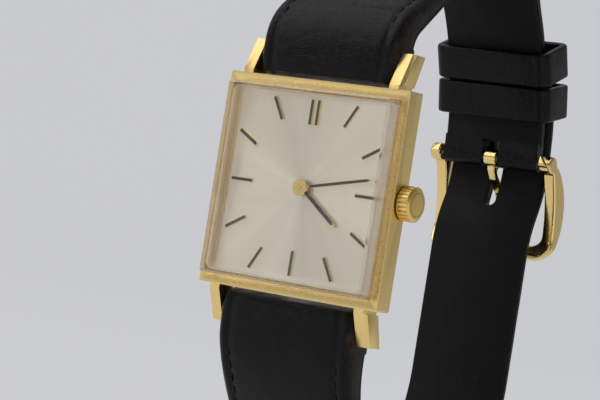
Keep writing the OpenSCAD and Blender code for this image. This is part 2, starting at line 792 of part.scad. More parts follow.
// Its teeth stand up at the rim, to mesh with the winding pinion from the side
module crown_wheel() {
    color(steel) upright() at(crown_wheel_at) difference() {
        plate(crown_wheel_z) gear_2d(crown_wheel_n, crown_wheel_r, crown_wheel_phase);
        disc(crown_wheel_r - 0.19, [crown_wheel_z[1] - 0.19, dial_level]);
        disc(0.46 + run_gap, [0, dial_level]);
    }
}

click_at = barrel_at + polar(4.55, 205);
click_spring_at = barrel_at + polar(5.6, 178);
module click() {
    beak = barrel_at + polar(ratchet_r + 0.16, 196);
    color(steel) upright() difference() {
        plate(ratchet_z) union() {
            translate(click_at) circle(0.45);
            polygon([click_at + [-0.3, 0.35], click_at + [0.3, -0.2], beak + [0.12, -0.05], beak + [-0.1, 0.2]]);
        }
        at(click_at) disc(0.2 + run_gap, [0, dial_level]);
    }
}

module click_spring() {
    color(steel) upright() plate([ratchet_z[0], bridge_z[0]]) {
        translate(click_spring_at) circle(0.4);
        bar_2d(click_spring_at, click_at + [-0.75, 0.2], 0.16);
    }
}

// Going train
module centre_wheel() {
    color(brass) upright() {
        wheel(centre_n, centre_r, centre_phase, centre_z, 4, 0.75);
        plate(centre_pinion_z) gear_2d(centre_pinion_n, centre_pinion_r, centre_pinion_phase);
        disc(0.4, [centre_z[0], centre_pinion_z[1]]);
        disc(centre_arbor_r, [bridge_z[0] + 0.05, minute_hand_z[1] + 0.15]);
    }
}

module train_wheel(p, n, r, phase, z, arms, pn, pr, pphase, pz) {
    lo = min(z[0], pz[0]);
    hi = max(z[1], pz[1]);
    at(p) {
        wheel(n, r, phase, z, arms, 0.5);
        plate(pz) gear_2d(pn, pr, pphase);
        arbor(pr * 0.6, [train_z[1] + 0.02, plate_z[0] - 0.02]);
        disc(pr * 0.6, [lo, hi]);
    }
}

module third_wheel() {
    color(brass) upright() train_wheel(third_at, third_n, third_r, third_phase, third_z, 4,
        third_pinion_n, third_pinion_r, third_pinion_phase, third_pinion_z);
}

module fourth_wheel() {
    color(brass) upright() train_wheel(fourth_at, fourth_n, fourth_r, fourth_phase, fourth_z, 4,
        fourth_pinion_n, fourth_pinion_r, fourth_pinion_phase, fourth_pinion_z);
}

module escape_wheel() {
    tooth = 360 / escape_n;
    root = escape_r - 0.4;
    outline = [for (i = [0:escape_n - 1]) for (c = [[root, 0], [escape_r, 0.3], [escape_r - 0.04, 0.42], [root, 0.3]])
        polar(c[0], (i + c[1]) * tooth)];
    color(steel) upright() at(escape_at) {
        plate(escape_z) difference() {
            polygon(outline);
            arms_cut(root - 0.15, 0.4, 4, 0.22);
        }
        plate(escape_pinion_z) gear_2d(escape_pinion_n, escape_pinion_r, escape_pinion_phase);
        arbor(escape_pinion_r * 0.6, [train_z[1] + 0.02, plate_z[0] - 0.02]);
    }
}

roller_pin = 0.38;
module pallet_fork() {
    reach = norm(balance_at - pallet_at) - roller_pin + 0.08;
    color(steel) upright() at(pallet_at) {
        rotate(heading(pallet_at, balance_at)) plate(pallet_z) difference() {
            union() {
                translate([0, -0.08]) square([reach - 0.2, 0.16]);
                translate([reach - 0.3, -0.22]) square([0.3, 0.44]);
                polygon([[0.14, -0.12], [0.14, 0.12], [-0.2, 0.95], [-0.42, 0.9], [-0.1, 0],
                         [-0.42, -0.9], [-0.2, -0.95]]);
            }
            translate([reach - 0.22, -0.08]) square([0.3, 0.16]);
        }
        arbor(0.12, [pallet_bridge_z[1] + 0.02, plate_z[0] - 0.02]);
    }
}

module balance_wheel() {
    rim = 0.3;
    screw_out = 0.12;
    color(brass) upright() at(balance_at) {
        plate(balance_z) difference() {
            circle(balance_r - screw_out);
            arms_cut(balance_r - screw_out - rim, 0.4, 2, 0.35);
        }
        for (k = [0:7]) rotate(22.5 + 45 * k) translate([0, 0, (balance_z[0] + balance_z[1]) / 2])
            along_x([balance_r - screw_out - 0.1, balance_r], 0.1);
        arbor(0.15, [cock_z[1] + 0.02, plate_z[0] - 0.02]);
        disc(0.45, roller_z);
        rotate(heading(balance_at, pallet_at)) translate([roller_pin, 0, 0]) disc(0.06, [roller_z[0], pallet_z[1]]);
    }
}

module hairspring() {
    color([0.25, 0.35, 0.6]) upright() at(balance_at) plate(hairspring_z) union() {
        coil_2d(0.35, 1.5, 7, 16, 0.05);
        difference() {
            circle(0.38);
            circle(0.15);
        }
    }
}

// Motion works and keyless works
module cannon_pinion() {
    color(steel) upright() difference() {
        union() {
            plate(cannon_teeth_z) gear_2d(cannon_n, cannon_r, cannon_phase);
            disc(cannon_pipe_r, [cannon_teeth_z[0], minute_hand_z[1] + 0.02]);
        }
        disc(centre_arbor_r + 0.02, [0, dial_level * 2]);
    }
}

module minute_wheel() {
    color(brass) upright() at(minute_wheel_at) difference() {
        union() {
            plate(minute_wheel_z) gear_2d(minute_wheel_n, minute_wheel_r, minute_wheel_phase);
            plate(minute_pinion_z) gear_2d(minute_pinion_n, minute_pinion_r, minute_pinion_phase);
        }
        disc(wheel_stud_r + run_gap, [0, dial_level]);
    }
}

module hour_wheel() {
    color(brass) upright() difference() {
        union() {
            plate(hour_wheel_z) gear_2d(hour_wheel_n, hour_wheel_r, hour_wheel_phase);
            disc(hour_pipe_r, [hour_wheel_z[0], hour_hand_z[1]]);
        }
        disc(cannon_pipe_r + run_gap, [0, dial_level * 2]);
    }
}

module setting_wheel() {
    color(steel) upright() at(setting_at) difference() {
        plate(setting_z) gear_2d(setting_n, setting_r, setting_phase);
        disc(wheel_stud_r + run_gap, [0, dial_level]);
    }
}

square_clear = square_side + 2 * run_gap;
face_teeth = 6;
face_tooth = [0.11, 0.12, 0.26];
module face_ring(x, turn) {
    for (k = [0:face_teeth - 1]) rotate([turn + k * 360 / face_teeth, 0, 0])
        translate([x - eps, -face_tooth.y / 2, 0.45 - face_tooth.z / 2]) cube(face_tooth + [2 * eps, 0, 0]);
}
module square_hole() translate([0, -square_clear / 2, -square_clear / 2]) cube([case_w, square_clear, square_clear]);

clutch_r = 0.61;
pinion_x = [6.58, 7.7];
clutch_x = [4.6, 6.42];
module winding_pinion() {
    color(steel) upright() translate([0, 0, stem_level]) difference() {
        union() {
            translate([pinion_x[0], 0, 0]) rotate([0, 90, 0]) linear_extrude(height = pinion_x[1] - pinion_x[0])
                gear_2d(winding_n, winding_r, 0);
            face_ring(pinion_x[0] - face_tooth.x, 180 / face_teeth);
        }
        square_hole();
    }
}

module sliding_pinion() {
    color(steel) upright() translate([0, 0, stem_level]) difference() {
        union() {
            along_x([clutch_x[0], clutch_groove_x - 0.2], clutch_r);
            along_x([clutch_groove_x - 0.21, clutch_groove_x + 0.21], 0.47);
            along_x([clutch_groove_x + 0.2, clutch_x[1]], clutch_r);
            face_ring(clutch_x[1], 0);
        }
        square_hole();
    }
}

module setting_lever() {
    pin = [lever_groove_x, 0];
    color(steel) upright() difference() {
        union() {
            plate(lever_z) union() {
                bar_2d(lever_pivot, pin, 0.6);
                translate(lever_pivot) circle(0.6);
            }
            at(pin) disc(0.16, [stem_level + lever_groove_r + 0.03, lever_z[0] + eps]);
        }
        at(lever_pivot) disc(lever_stud_r + run_gap, [0, dial_level]);
    }
}

module yoke() {
    pin = [clutch_groove_x, 0];
    color(steel) upright() difference() {
        union() {
            plate(yoke_z) union() {
                bar_2d(yoke_pivot, pin, 0.5);
                translate(yoke_pivot) circle(0.6);
            }
            at(pin) disc(0.13, [stem_level + 0.5, yoke_z[0] + eps]);
        }
        at(yoke_pivot) disc(lever_stud_r + run_gap, [0, dial_level]);
    }
}

// Spring bars
tube_half = strap_w / 2 - 0.2;
module spring_bar(z) {
    bore = tip_inside + tip_travel + 0.4;
    color(steel) translate([0, bar_back, z]) difference() {
        along_x([-tube_half, tube_half], bar_tube_r);
        mirrored([1, 0, 0]) along_x([tube_half - bore, tube_half + eps], tip_hole_r);
    }
}
module bar_tip(z, side) {
    color(steel) translate([0, bar_back, z]) scale_side(side)
        along_x([tube_half - tip_inside, lug_in + bar_tip_seat], tip_r);
}
module scale_side(side) { if (side < 0) mirror([1, 0, 0]) children(); else children(); }

module spring_bar_12() spring_bar(bar_reach);
module spring_bar_6() spring_bar(-bar_reach);
module bar_tip_12_left() bar_tip(bar_reach, -1);
module bar_tip_12_right() bar_tip(bar_reach, 1);
module bar_tip_6_left() bar_tip(-bar_reach, -1);
module bar_tip_6_right() bar_tip(-bar_reach, 1);

// Strap. A station is [distance behind, height, heading, length from the spring bar].
function step_length(s) = s[0] == 0 ? s[1] : abs(s[0] * s[1]) * PI / 180;
function move(st, s, l) = let (h = st[2] + (s[0] == 0 ? 0 : l / s[0] * 180 / PI))
    s[0] == 0 ? [st[0] + l * sin(h), st[1] + l * cos(h), h, st[3] + l]
              : [st[0] + s[0] * (cos(st[2]) - cos(h)), st[1] + s[0] * (sin(h) - sin(st[2])), h, st[3] + l];
function along(st, route, l, i = 0) = let (len_i = step_length(route[i]))
    l <= len_i || i == len(route) - 1 ? move(st, route[i], l) : along(move(st, route[i], len_i), route, l - len_i, i + 1);
function total(route, i = 0) = i == len(route) ? 0 : step_length(route[i]) + total(route, i + 1);
function clamp_to(v, lo, hi) = min(max(v, lo), hi);
function blend_at(a, b, from, to, s) = a + (b - a) * clamp_to((s - from) / (to - from), 0, 1);

start_station = [bar_back, bar_reach, 0, 0];
full_route_6 = concat(route_6, tail_route);
length_12 = total(route_12);
length_6 = total(full_route_6);
function strap_width(s) = blend_at(strap_w - 0.1, buckle_w, taper_from, taper_to, s);
function strap_thick(s, end_t) = blend_at(strap_t_lug, end_t, taper_from, taper_to, s);
function lengths(from, to) = let (n = ceil((to - from) / step_len)) [for (k = [0:n]) from + (to - from) * k / n];
function point_on(st, x, out) = [x, st[0] - out * cos(st[2]), st[1] + out * sin(st[2])];

// Rings joined into one closed skin; each ring runs round the same way
function ring_skin(rings, m) = concat(
    [[for (j = [0:m - 1]) j], [for (j = [m - 1:-1:0]) (rings - 1) * m + j]],
    [for (i = [0:rings - 2], j = [0:m - 1]) let (a = i * m + j, b = i * m + (j + 1) % m) [a, a + m, b + m]],
    [for (i = [0:rings - 2], j = [0:m - 1]) let (a = i * m + j, b = i * m + (j + 1) % m) [a, b + m, b]]);

// Stations shared by a strap part's leather and its lining, close together round a pointed end
function stations(to, end_from) = concat(lengths(strap_from, end_from),
    to > end_from ? [for (k = [1:5]) end_from + (to - end_from) * sin(18 * k)] : []);

// Share of the half width against share of the height, for the padded upper leather
leather_top = [[-1, 0.55], [-0.95, 0.84], [-0.66, 0.96], [0, 1], [0.66, 0.96], [0.95, 0.84], [1, 0.55]];
module leather(route, to, end_t, end_from) {
    rings = [for (s = stations(to, end_from)) let (st = along(start_station, route, s), t = strap_thick(s, end_t), w = half_width(s, end_from, to))
        concat([for (c = leather_top) point_on(st, c[0] * w, -t / 2 + lining_t + (t - lining_t) * c[1])],
               [point_on(st, w, -t / 2 + lining_t), point_on(st, -w, -t / 2 + lining_t)])];
    polyhedron([for (r = rings) each r], ring_skin(len(rings), len(leather_top) + 2), convexity = 8);
}
module lining(route, lining_to, to, end_t, end_from) {
    rings = [for (s = stations(to, end_from)) if (s >= lining_from && s <= lining_to) let (st = along(start_station, route, s), t = strap_thick(s, end_t), w = half_width(s, end_from, to))
        [point_on(st, -w, -t / 2 + lining_t), point_on(st, w, -t / 2 + lining_t), point_on(st, w, -t / 2), point_on(st, -w, -t / 2)]];
    polyhedron([for (r = rings) each r], ring_skin(len(rings), 4), convexity = 8);
}
function half_width(s, end_from, to) = let (w = strap_width(s) / 2, k = to > end_from ? clamp_to((s - end_from) / (to - end_from), 0, 1) : 0)
    max(w * sqrt(max(1 - k * k, 0)), tail_point);

// Local x along the strap, y outwards and z across it
module on_strap(st) {
    multmatrix([[0, 0, 1, 0], [sin(st[2]), -cos(st[2]), 0, st[0]], [cos(st[2]), sin(st[2]), 0, st[1]]]) children();
}
module across(half, r) translate([0, 0, -half]) cylinder(r = r, h = 2 * half);

bar_station = along(start_station, route_12, length_12);
strap_end_half = strap_width(0) / 2;
buckle_half = buckle_w / 2;

// The strap's end, round at the spring bar and padded out to the case
eye_nose = case_half.y + 0.35 + eye_r;
module spring_bar_eye() {
    for (z = [eye_nose, bar_reach]) translate([0, bar_back, z]) along_x([-strap_end_half, strap_end_half], eye_r);
    translate([-strap_end_half, bar_back - eye_r, eye_nose]) cube([2 * strap_end_half, 2 * eye_r, bar_reach - eye_nose]);
}
module spring_bar_bore() translate([0, bar_back, bar_reach]) along_x([-case_w, case_w], eye_bore_r);

module strap_12() {
    notch = tongue_eye_w / 2 + 0.3;
    color(black) difference() {
        union() {
            leather(route_12, length_12 - strap_from, strap_t_buckle, length_12 - strap_from);
            spring_bar_eye();
            on_strap(bar_station) across(buckle_half, bar_eye_r);
        }
        spring_bar_bore();
        on_strap(bar_station) {
            across(case_w, buckle_bar_r + seat_gap);
            translate([-2.2, -3, -notch]) cube([8, 6, 2 * notch]);
        }
    }
}

module strap_12_lining() {
    color(lining_grey) lining(route_12, length_12 - lining_from, length_12 - strap_from, strap_t_buckle, length_12 - strap_from);
}

tongue_hole_s = total(route_6) + tongue_hole_after;
module tail_holes(first) {
    for (k = [first:holes_after]) on_strap(along(start_station, full_route_6, tongue_hole_s + k * hole_pitch))
        rotate([90, 0, 0]) cylinder(r = hole_r, h = 8, center = true);
}

// The slot that the tongue has drawn in its hole, slanted as the tongue is
module tongue_slot_cut() {
    a = tongue_line[2];
    b = tongue_line[3];
    reach = 1.4;
    mirror([0, 0, 1]) on_strap(bar_station) translate([a.x, a.y, 0]) rotate(heading(a, b))
        translate([-reach, -tongue_t / 2 - tongue_slot, -hole_r])
            cube([norm(b - a) + 2 * reach, tongue_t + 2 * tongue_slot, 2 * hole_r]);
}

module strap_6() {
    color(black) mirror([0, 0, 1]) difference() {
        union() {
            leather(full_route_6, length_6, tail_t, length_6 - tail_end);
            spring_bar_eye();
        }
        spring_bar_bore();
        tail_holes(1);
        tongue_slot_cut();
    }
}

module strap_6_lining() {
    color(lining_grey) mirror([0, 0, 1]) difference() {
        lining(full_route_6, length_6, length_6, tail_t, length_6 - tail_end);
        tail_holes(1);
        tongue_slot_cut();
    }
}

module keeper(back) {
    low = -strap_t_buckle / 2 - 0.18;
    high = tail_offset + tail_t / 2 + 0.35;
    half = buckle_half + 0.4;
    mid = (low + high) / 2;
    on_strap(along(start_station, route_12, length_12 - back)) translate([-keeper_len / 2, mid, 0])
        rotate([90, 0, 90]) linear_extrude(height = keeper_len) difference() {
            rounded([(high - low) / 2 + keeper_t, half + keeper_t], 1);
            square([high - low, 2 * half], center = true);
        }
}
module fixed_keeper() color(black) keeper(fixed_keeper_back);
module free_keeper() color(black) keeper(free_keeper_back);

// Buckle
chord = norm(frame_end);
bow_r = (chord * chord / 4 + buckle_bow * buckle_bow) / (2 * buckle_bow);
chord_dir = atan2(frame_end.y, frame_end.x);
bow_centre = frame_end / 2 - (bow_r - buckle_bow) * [-sin(chord_dir), cos(chord_dir)];
bow_half_angle = asin(chord / 2 / bow_r);
bow_extra = 11;
// The arms' inner side, a flatter arc through the same two ends
arm_bow = buckle_bow * 0.3;
arm_steps = 16;
function bow_points(bow) = [for (i = [0:arm_steps]) let (t = i / arm_steps)
    frame_end * t + 4 * bow * t * (1 - t) * [-sin(chord_dir), cos(chord_dir)]];
module buckle_frame() {
    inner_half = frame_half - buckle_arm;
    far = frame_end.x + frame_overrun;
    near = -frame_overrun;
    color(gold) on_strap(bar_station) difference() {
        union() {
            intersection() {
                union() {
                    translate([bow_centre.x, bow_centre.y, -frame_half])
                        rotate(chord_dir + 90 - bow_half_angle - bow_extra)
                        rotate_extrude(angle = 2 * (bow_half_angle + bow_extra))
                        translate([bow_r - buckle_t / 2, 0]) square([buckle_t, 2 * frame_half]);
                    translate([0, 0, -frame_half]) linear_extrude(height = 2 * frame_half)
                        polygon(concat(bow_points(buckle_bow), [for (i = [arm_steps - 1:-1:1]) bow_points(arm_bow)[i]]));
                }
                rotate([-90, 0, 0]) translate([0, 0, -8]) linear_extrude(height = 20) difference() {
                    translate([(far + near) / 2, 0]) rounded([(far - near) / 2, frame_half], frame_corner);
                    translate([(far - frame_overrun * 1.5 + near - 4) / 2, 0])
                        rounded([(far - frame_overrun * 1.5 - near + 4) / 2, inner_half], frame_corner - 0.8);
                }
            }
            mirrored([0, 0, 1]) translate([0, 0, inner_half]) cylinder(r = 1.15, h = buckle_arm);
        }
        across(frame_half - 0.4, buckle_bar_r);
    }
}
module buckle_bar() color(steel) on_strap(bar_station) across(frame_half - 0.4, buckle_bar_r);

function side_point(line, i, t) = let (a = line[max(i - 1, 0)], b = line[min(i + 1, len(line) - 1)], d = (b - a) / norm(b - a))
    line[i] + t * [-d.y, d.x];
module buckle_tongue() {
    n = len(tongue_line) - 1;
    tip = tongue_line[n] + [0.5, -0.1];
    outline = concat([for (i = [0:n]) side_point(tongue_line, i, tongue_t / 2)], [tip],
                     [for (i = [n:-1:0]) side_point(tongue_line, i, -tongue_t / 2)]);
    color(gold) on_strap(bar_station) difference() {
        union() {
            translate([0, 0, -tongue_w / 2]) linear_extrude(height = tongue_w) polygon(outline);
            across(tongue_eye_w / 2, tongue_eye_r);
        }
        across(case_w, buckle_bar_r + seat_gap);
    }
}

case_body();
case_back();
back_gasket();
crystal();
crown_tube();
crown();
winding_stem();
dial();
hour_markers();
movement_ring();
main_plate();
barrel_bridge();
train_bridge();
balance_cock();
pallet_bridge();
bridge_screws();
jewels();
click();
click_spring();
barrel();
mainspring();
barrel_arbor();
ratchet_wheel();
crown_wheel();
centre_wheel();
third_wheel();
fourth_wheel();
escape_wheel();
pallet_fork();
balance_wheel();
hairspring();
cannon_pinion();
minute_wheel();
hour_wheel();
setting_wheel();
winding_pinion();
sliding_pinion();
setting_lever();
yoke();
hour_hand();
minute_hand();
spring_bar_12();
spring_bar_6();
bar_tip_12_left();
bar_tip_12_right();
bar_tip_6_left();
bar_tip_6_right();
strap_12();
strap_12_lining();
strap_6();
strap_6_lining();
fixed_keeper();
free_keeper();
buckle_frame();
buckle_bar();
buckle_tongue();
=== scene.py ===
"""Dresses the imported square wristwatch: gold case, acrylic crystal, silver dial and a padded black strap."""
from __future__ import annotations

import json
import logging
import math
from dataclasses import dataclass
from enum import Enum
from typing import Callable, Sequence

import bmesh
import bpy
from mathutils import Matrix, Vector, noise

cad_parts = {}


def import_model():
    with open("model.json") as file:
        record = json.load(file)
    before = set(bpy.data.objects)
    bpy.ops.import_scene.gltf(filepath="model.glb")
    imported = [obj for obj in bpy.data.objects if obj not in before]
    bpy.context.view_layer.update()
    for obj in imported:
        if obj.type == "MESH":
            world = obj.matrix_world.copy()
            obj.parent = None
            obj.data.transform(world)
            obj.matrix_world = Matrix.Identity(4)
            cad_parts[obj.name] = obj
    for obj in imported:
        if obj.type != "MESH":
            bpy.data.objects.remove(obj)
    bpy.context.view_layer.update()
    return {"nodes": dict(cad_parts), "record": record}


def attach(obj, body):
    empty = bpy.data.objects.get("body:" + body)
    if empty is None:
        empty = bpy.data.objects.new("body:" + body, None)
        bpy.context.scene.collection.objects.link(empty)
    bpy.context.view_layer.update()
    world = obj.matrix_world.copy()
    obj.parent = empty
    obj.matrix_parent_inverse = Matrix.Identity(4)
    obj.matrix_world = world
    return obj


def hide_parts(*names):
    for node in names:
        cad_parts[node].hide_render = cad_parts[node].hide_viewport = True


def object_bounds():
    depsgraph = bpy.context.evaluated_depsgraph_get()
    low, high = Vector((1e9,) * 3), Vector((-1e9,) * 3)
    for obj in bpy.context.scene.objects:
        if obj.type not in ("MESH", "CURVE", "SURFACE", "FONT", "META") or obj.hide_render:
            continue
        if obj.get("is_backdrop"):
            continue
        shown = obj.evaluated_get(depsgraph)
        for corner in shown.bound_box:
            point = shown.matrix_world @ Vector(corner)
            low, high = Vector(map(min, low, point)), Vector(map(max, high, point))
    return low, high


LOG = logging.getLogger("wristwatch")
MM = 0.001
FLOOR_GAP = 0.0001
MERGE = 1e-7
LEATHER_ANGLE = 42.0
ROUND_ANGLE = 50.0
RAMP_INPUTS = ("From Min", "From Max", "To Min", "To Max")
Pair = tuple[float, float]
Triple = tuple[float, float, float]
Colour = Triple
Ramp = tuple[float, float, float, float]
Spot = tuple[Vector, Vector, Vector]
Socket = bpy.types.NodeSocket
Tree = bpy.types.NodeTree
Material = bpy.types.Material
Piece = bpy.types.Object


class Body(Enum):
    """Moving bodies of the watch that carry pieces made here."""

    CASE = "case"
    CROWN = "crown_and_stem"
    HOUR = "hour_set"
    MINUTE = "minute_set"
    SHORT = "strap_short"
    LONG = "strap_long"
    KEEPER = "keeper"
    BUCKLE = "buckle"
    TONGUE = "tongue"


class Slot(Enum):
    """Material slots of the record."""

    GOLD = "case_gold"
    LACQUER = "black_lacquer"
    LEATHER = "strap_leather"
    LINING = "lining_leather"
    CRYSTAL = "crystal"


def wire(tree: Tree, kind: str, values: dict | None = None, **settings: object) -> bpy.types.Node:
    """Add a node to a tree, and set or link its inputs.

    Args:
        tree: The tree.
        kind: The node's type.
        values: Input names or numbers, each with a constant or a socket to link.
        **settings: Properties of the node.

    Returns:
        The new node.
    """
    node = tree.nodes.new(kind)
    for key, value in settings.items():
        setattr(node, key, value)
    for key, value in (values or {}).items():
        if isinstance(value, Socket):
            tree.links.new(value, node.inputs[key])
        else:
            node.inputs[key].default_value = value
    return node


class NodeBench:
    """Lays out the nodes of one material and joins them."""

    def __init__(self, name: str) -> None:
        """Start an empty material.

        Args:
            name: The material's name.
        """
        self.material = bpy.data.materials.new(name)
        self.material.use_nodes = True
        self.tree = self.material.node_tree
        self.tree.nodes.clear()
        self.place = self.add("TexCoord").outputs

    def add(self, kind: str, values: dict | None = None, **settings: object) -> bpy.types.Node:
        """Add a shader node, whose type is given without its prefix."""
        return wire(self.tree, "ShaderNode" + kind, values, **settings)

    def axes(self, space: str) -> Sequence[Socket]:
        """Return the three parts of the Object or Normal coordinates."""
        return self.add("SeparateXYZ", {0: self.place[space]}).outputs

    def at_object(self, stretch: Triple = (1.0, 1.0, 1.0)) -> Socket:
        """Return object coordinates, stretched along each axis."""
        return self.add("Mapping", {"Vector": self.place["Object"], "Scale": stretch}).outputs["Vector"]

    def noise(self, scale: float, detail: float = 3.0, where: Socket | None = None) -> Socket:
        """Return a noise pattern.

        Args:
            scale: Cells a metre.
            detail: Octaves.
            where: Coordinates of the pattern, or none for the object's own.

        Returns:
            The pattern's value.
        """
        if where is None:
            where = self.at_object()
        return self.add("TexNoise", {"Vector": where, "Scale": scale, "Detail": detail}).outputs["Fac"]

    def spread(self, value: Socket, ramp: Ramp) -> Socket:
        """Map a value by a ramp, which is the start and end of its range and the results there."""
        return self.add("MapRange", {"Value": value, **dict(zip(RAMP_INPUTS, ramp))}).outputs["Result"]

    def wander(self, value: Socket, roughness: float) -> Socket:
        """Return a roughness that wanders about its mean with a pattern."""
        return self.spread(value, (0.3, 0.7, roughness * 0.85, roughness * 1.2))

    def blend(self, share: Socket, first: Colour | Socket, second: Colour | Socket) -> Socket:
        """Mix two colours.

        Args:
            share: Share of the second colour.
            first: Colour at 0.
            second: Colour at 1.

        Returns:
            The mixed colour.
        """
        first, second = (end if isinstance(end, Socket) else (*end, 1.0) for end in (first, second))
        return self.add("Mix", {"Factor": share, 6: first, 7: second}, data_type="RGBA").outputs[2]

    def math(self, operation: str, *values: Socket | float) -> Socket:
        """Return the result of a sum or other operation on constants or sockets."""
        return self.add("Math", dict(enumerate(values)), operation=operation).outputs[0]

    def bump(self, height: Socket, depth: float, strength: float = 1.0) -> Socket:
        """Return a normal that follows a height pattern of a depth in metres, and how much of it shows."""
        return self.add("Bump", {"Height": height, "Distance": depth, "Strength": strength}).outputs["Normal"]

    def share(self, share: Socket, first: bpy.types.Node, second: bpy.types.Node) -> Socket:
        """Mix two shaders, by the share of the second."""
        return self.add("MixShader", {0: share, 1: first.outputs[0], 2: second.outputs[0]}).outputs[0]

    def finish(self, shader: Socket) -> Material:
        """Send a shader to the output and return the finished material."""
        self.add("OutputMaterial", {"Surface": shader})
        return self.material

    def surface(self, values: dict) -> Material:
        """Finish the material with the usual surface shader, by its inputs."""
        return self.finish(self.add("BsdfPrincipled", values).outputs[0])


@dataclass(frozen=True)
class MetalFinish:
    """Plated, brushed or polished metal with fine lines and slight stains."""

    name: str
    colour: Colour
    stain: Colour
    roughness: float
    line_depth: float = 0.0000004
    line_scale: float = 2600.0
    stain_scale: float = 110.0
    stains: Ramp = (0.40, 0.80, 0.0, 0.22)

    def make(self) -> Material:
        """Build the metal's material.

        Returns:
            The material.
        """
        bench = NodeBench(self.name)
        cloud = bench.spread(bench.noise(self.stain_scale, detail=4.0), self.stains)
        lines = bench.noise(self.line_scale, detail=2.0)
        return bench.surface({
            "Base Color": bench.blend(cloud, self.colour, self.stain), "Metallic": 1.0,
            "Roughness": bench.wander(lines, self.roughness), "Normal": bench.bump(lines, self.line_depth)})


@dataclass(frozen=True)
class FlutedFinish:
    """Gold of the crown, with painted shade at the foot of its flutes and in the ring on its end."""

    name: str = "fluted_gold"
    colour: Colour = (0.86, 0.60, 0.19)
    # Painted shade: the brown that the gold turns to at the foot of the flutes and in the ring on the end.
    painted_shade: Colour = (0.16, 0.075, 0.020)
    axis: float = -0.0023
    foot: Ramp = (0.00190, 0.00204, 1.0, 0.0)
    ring: float = 0.00138
    ring_painted_shade: Ramp = (0.00003, 0.00012, 0.55, 0.0)
    off_ends: Ramp = (0.35, 0.8, 1.0, 0.0)
    patch_scale: float = 900.0
    patches: Ramp = (0.3, 0.7, 0.7, 1.0)
    rough: Ramp = (0.7, 1.0, 0.22, 0.32)

    def make(self) -> Material:
        """Build the crown's material from the distance to its axis.

        Returns:
            The material.
        """
        bench = NodeBench(self.name)
        place = bench.axes("Object")
        across = bench.math("SUBTRACT", place[1], self.axis)
        squares = [bench.math("MULTIPLY", part, part) for part in (across, place[2])]
        far = bench.math("SQRT", bench.math("ADD", *squares))
        groove = bench.spread(bench.math("ABSOLUTE", bench.math("SUBTRACT", far, self.ring)), self.ring_painted_shade)
        side = bench.spread(bench.math("ABSOLUTE", bench.axes("Normal")[0]), self.off_ends)
        cloud = bench.spread(bench.noise(self.patch_scale), self.patches)
        deep = bench.math("MULTIPLY", bench.spread(far, self.foot), side)
        # Painted shade, patchy at the foot of the flutes and full in the ring on the end.
        painted_shade = bench.math("MAXIMUM", groove, bench.math("MULTIPLY", deep, cloud))
        return bench.surface({"Base Color": bench.blend(painted_shade, self.colour, self.painted_shade), "Metallic": 1.0,
                              "Roughness": bench.spread(cloud, self.rough)})


@dataclass(frozen=True)
class AcrylicFinish:
    """Clear, slightly warm acrylic of the crystal, with a painted reflection of the gold case in its walls."""

    name: str = "clear_acrylic"
    tint: Colour = (0.99, 0.975, 0.955)
    # Painted reflection: the walls' warm beige stands for the gold case seen in them.
    wall: Colour = (0.97, 0.86, 0.76)
    ior: float = 1.49
    walls: Ramp = (0.70, 0.99, 1.0, 0.0)
    foot: Ramp = (-0.00450, -0.00425, 0.0, 1.0)
    haze_scale: float = 900.0
    haze: Ramp = (0.4, 0.8, 0.01, 0.035)
    wall_haze: float = 0.22
    wall_clear: Ramp = (0.0, 1.0, 1.0, 0.45)
    wall_alpha: Ramp = (0.0, 1.0, 1.0, 0.52)

    def make(self) -> Material:
        """Build the crystal's material, clear on its flat faces and milkier in its walls, whose warmer colour
        is a painted reflection of the gold case.

        Returns:
            The material, which lets shadow rays through.
        """
        bench = NodeBench(self.name)
        side = bench.spread(bench.math("ABSOLUTE", bench.axes("Normal")[1]), self.walls)
        side = bench.math("MAXIMUM", side, bench.spread(bench.axes("Object")[1], self.foot))
        haze = bench.spread(bench.noise(self.haze_scale, detail=2.0), self.haze)
        rough = bench.math("ADD", haze, bench.math("MULTIPLY", side, self.wall_haze))
        # The walls take the painted reflection of the gold case as their colour.
        glass = bench.add("BsdfPrincipled", {
            "Base Color": bench.blend(side, self.tint, self.wall), "Roughness": rough, "IOR": self.ior,
            "Transmission Weight": bench.spread(side, self.wall_clear),
            "Alpha": bench.spread(side, self.wall_alpha)})
        clear = bench.add("BsdfTransparent", {"Color": (*self.tint, 1.0)})
        shadow = bench.add("LightPath").outputs["Is Shadow Ray"]
        return bench.finish(bench.share(shadow, glass, clear))


@dataclass(frozen=True)
class DialFinish:
    """Silvered dial brushed from its centre, with a warm tone."""

    name: str = "silvered_dial"
    colour: Colour = (0.88, 0.84, 0.72)
    shade: Colour = (0.80, 0.76, 0.64)
    tones: Ramp = (0.35, 0.7, 0.0, 1.0)
    tone_scale: float = 2.2
    rough: Ramp = (0.3, 0.7, 0.34, 0.46)
    ray_scale: float = 60.0
    ray_depth: float = 0.000004
    ray_shown: float = 0.4
    silver: float = 0.8
    brushed: float = 0.85

    def make(self) -> Material:
        """Build the dial's material with rays from the hands' axis.

        Returns:
            The material.
        """
        bench = NodeBench(self.name)
        place = bench.axes("Object")
        angle = bench.math("ARCTAN2", place[2], place[0])
        circle = {0: bench.math("COSINE", angle), 1: bench.math("SINE", angle)}
        turned = bench.add("CombineXYZ", circle).outputs[0]
        rays = bench.noise(self.ray_scale, detail=4.0, where=turned)
        broad = bench.spread(bench.noise(self.tone_scale, detail=2.0, where=turned), self.tones)
        around = bench.add("Tangent", direction_type="RADIAL", axis="Y").outputs[0]
        return bench.surface({
            "Base Color": bench.blend(broad, self.colour, self.shade), "Metallic": self.silver,
            "Roughness": bench.spread(rays, self.rough), "Anisotropic": self.brushed, "Tangent": around,
            "Normal": bench.bump(rays, self.ray_depth, self.ray_shown)})


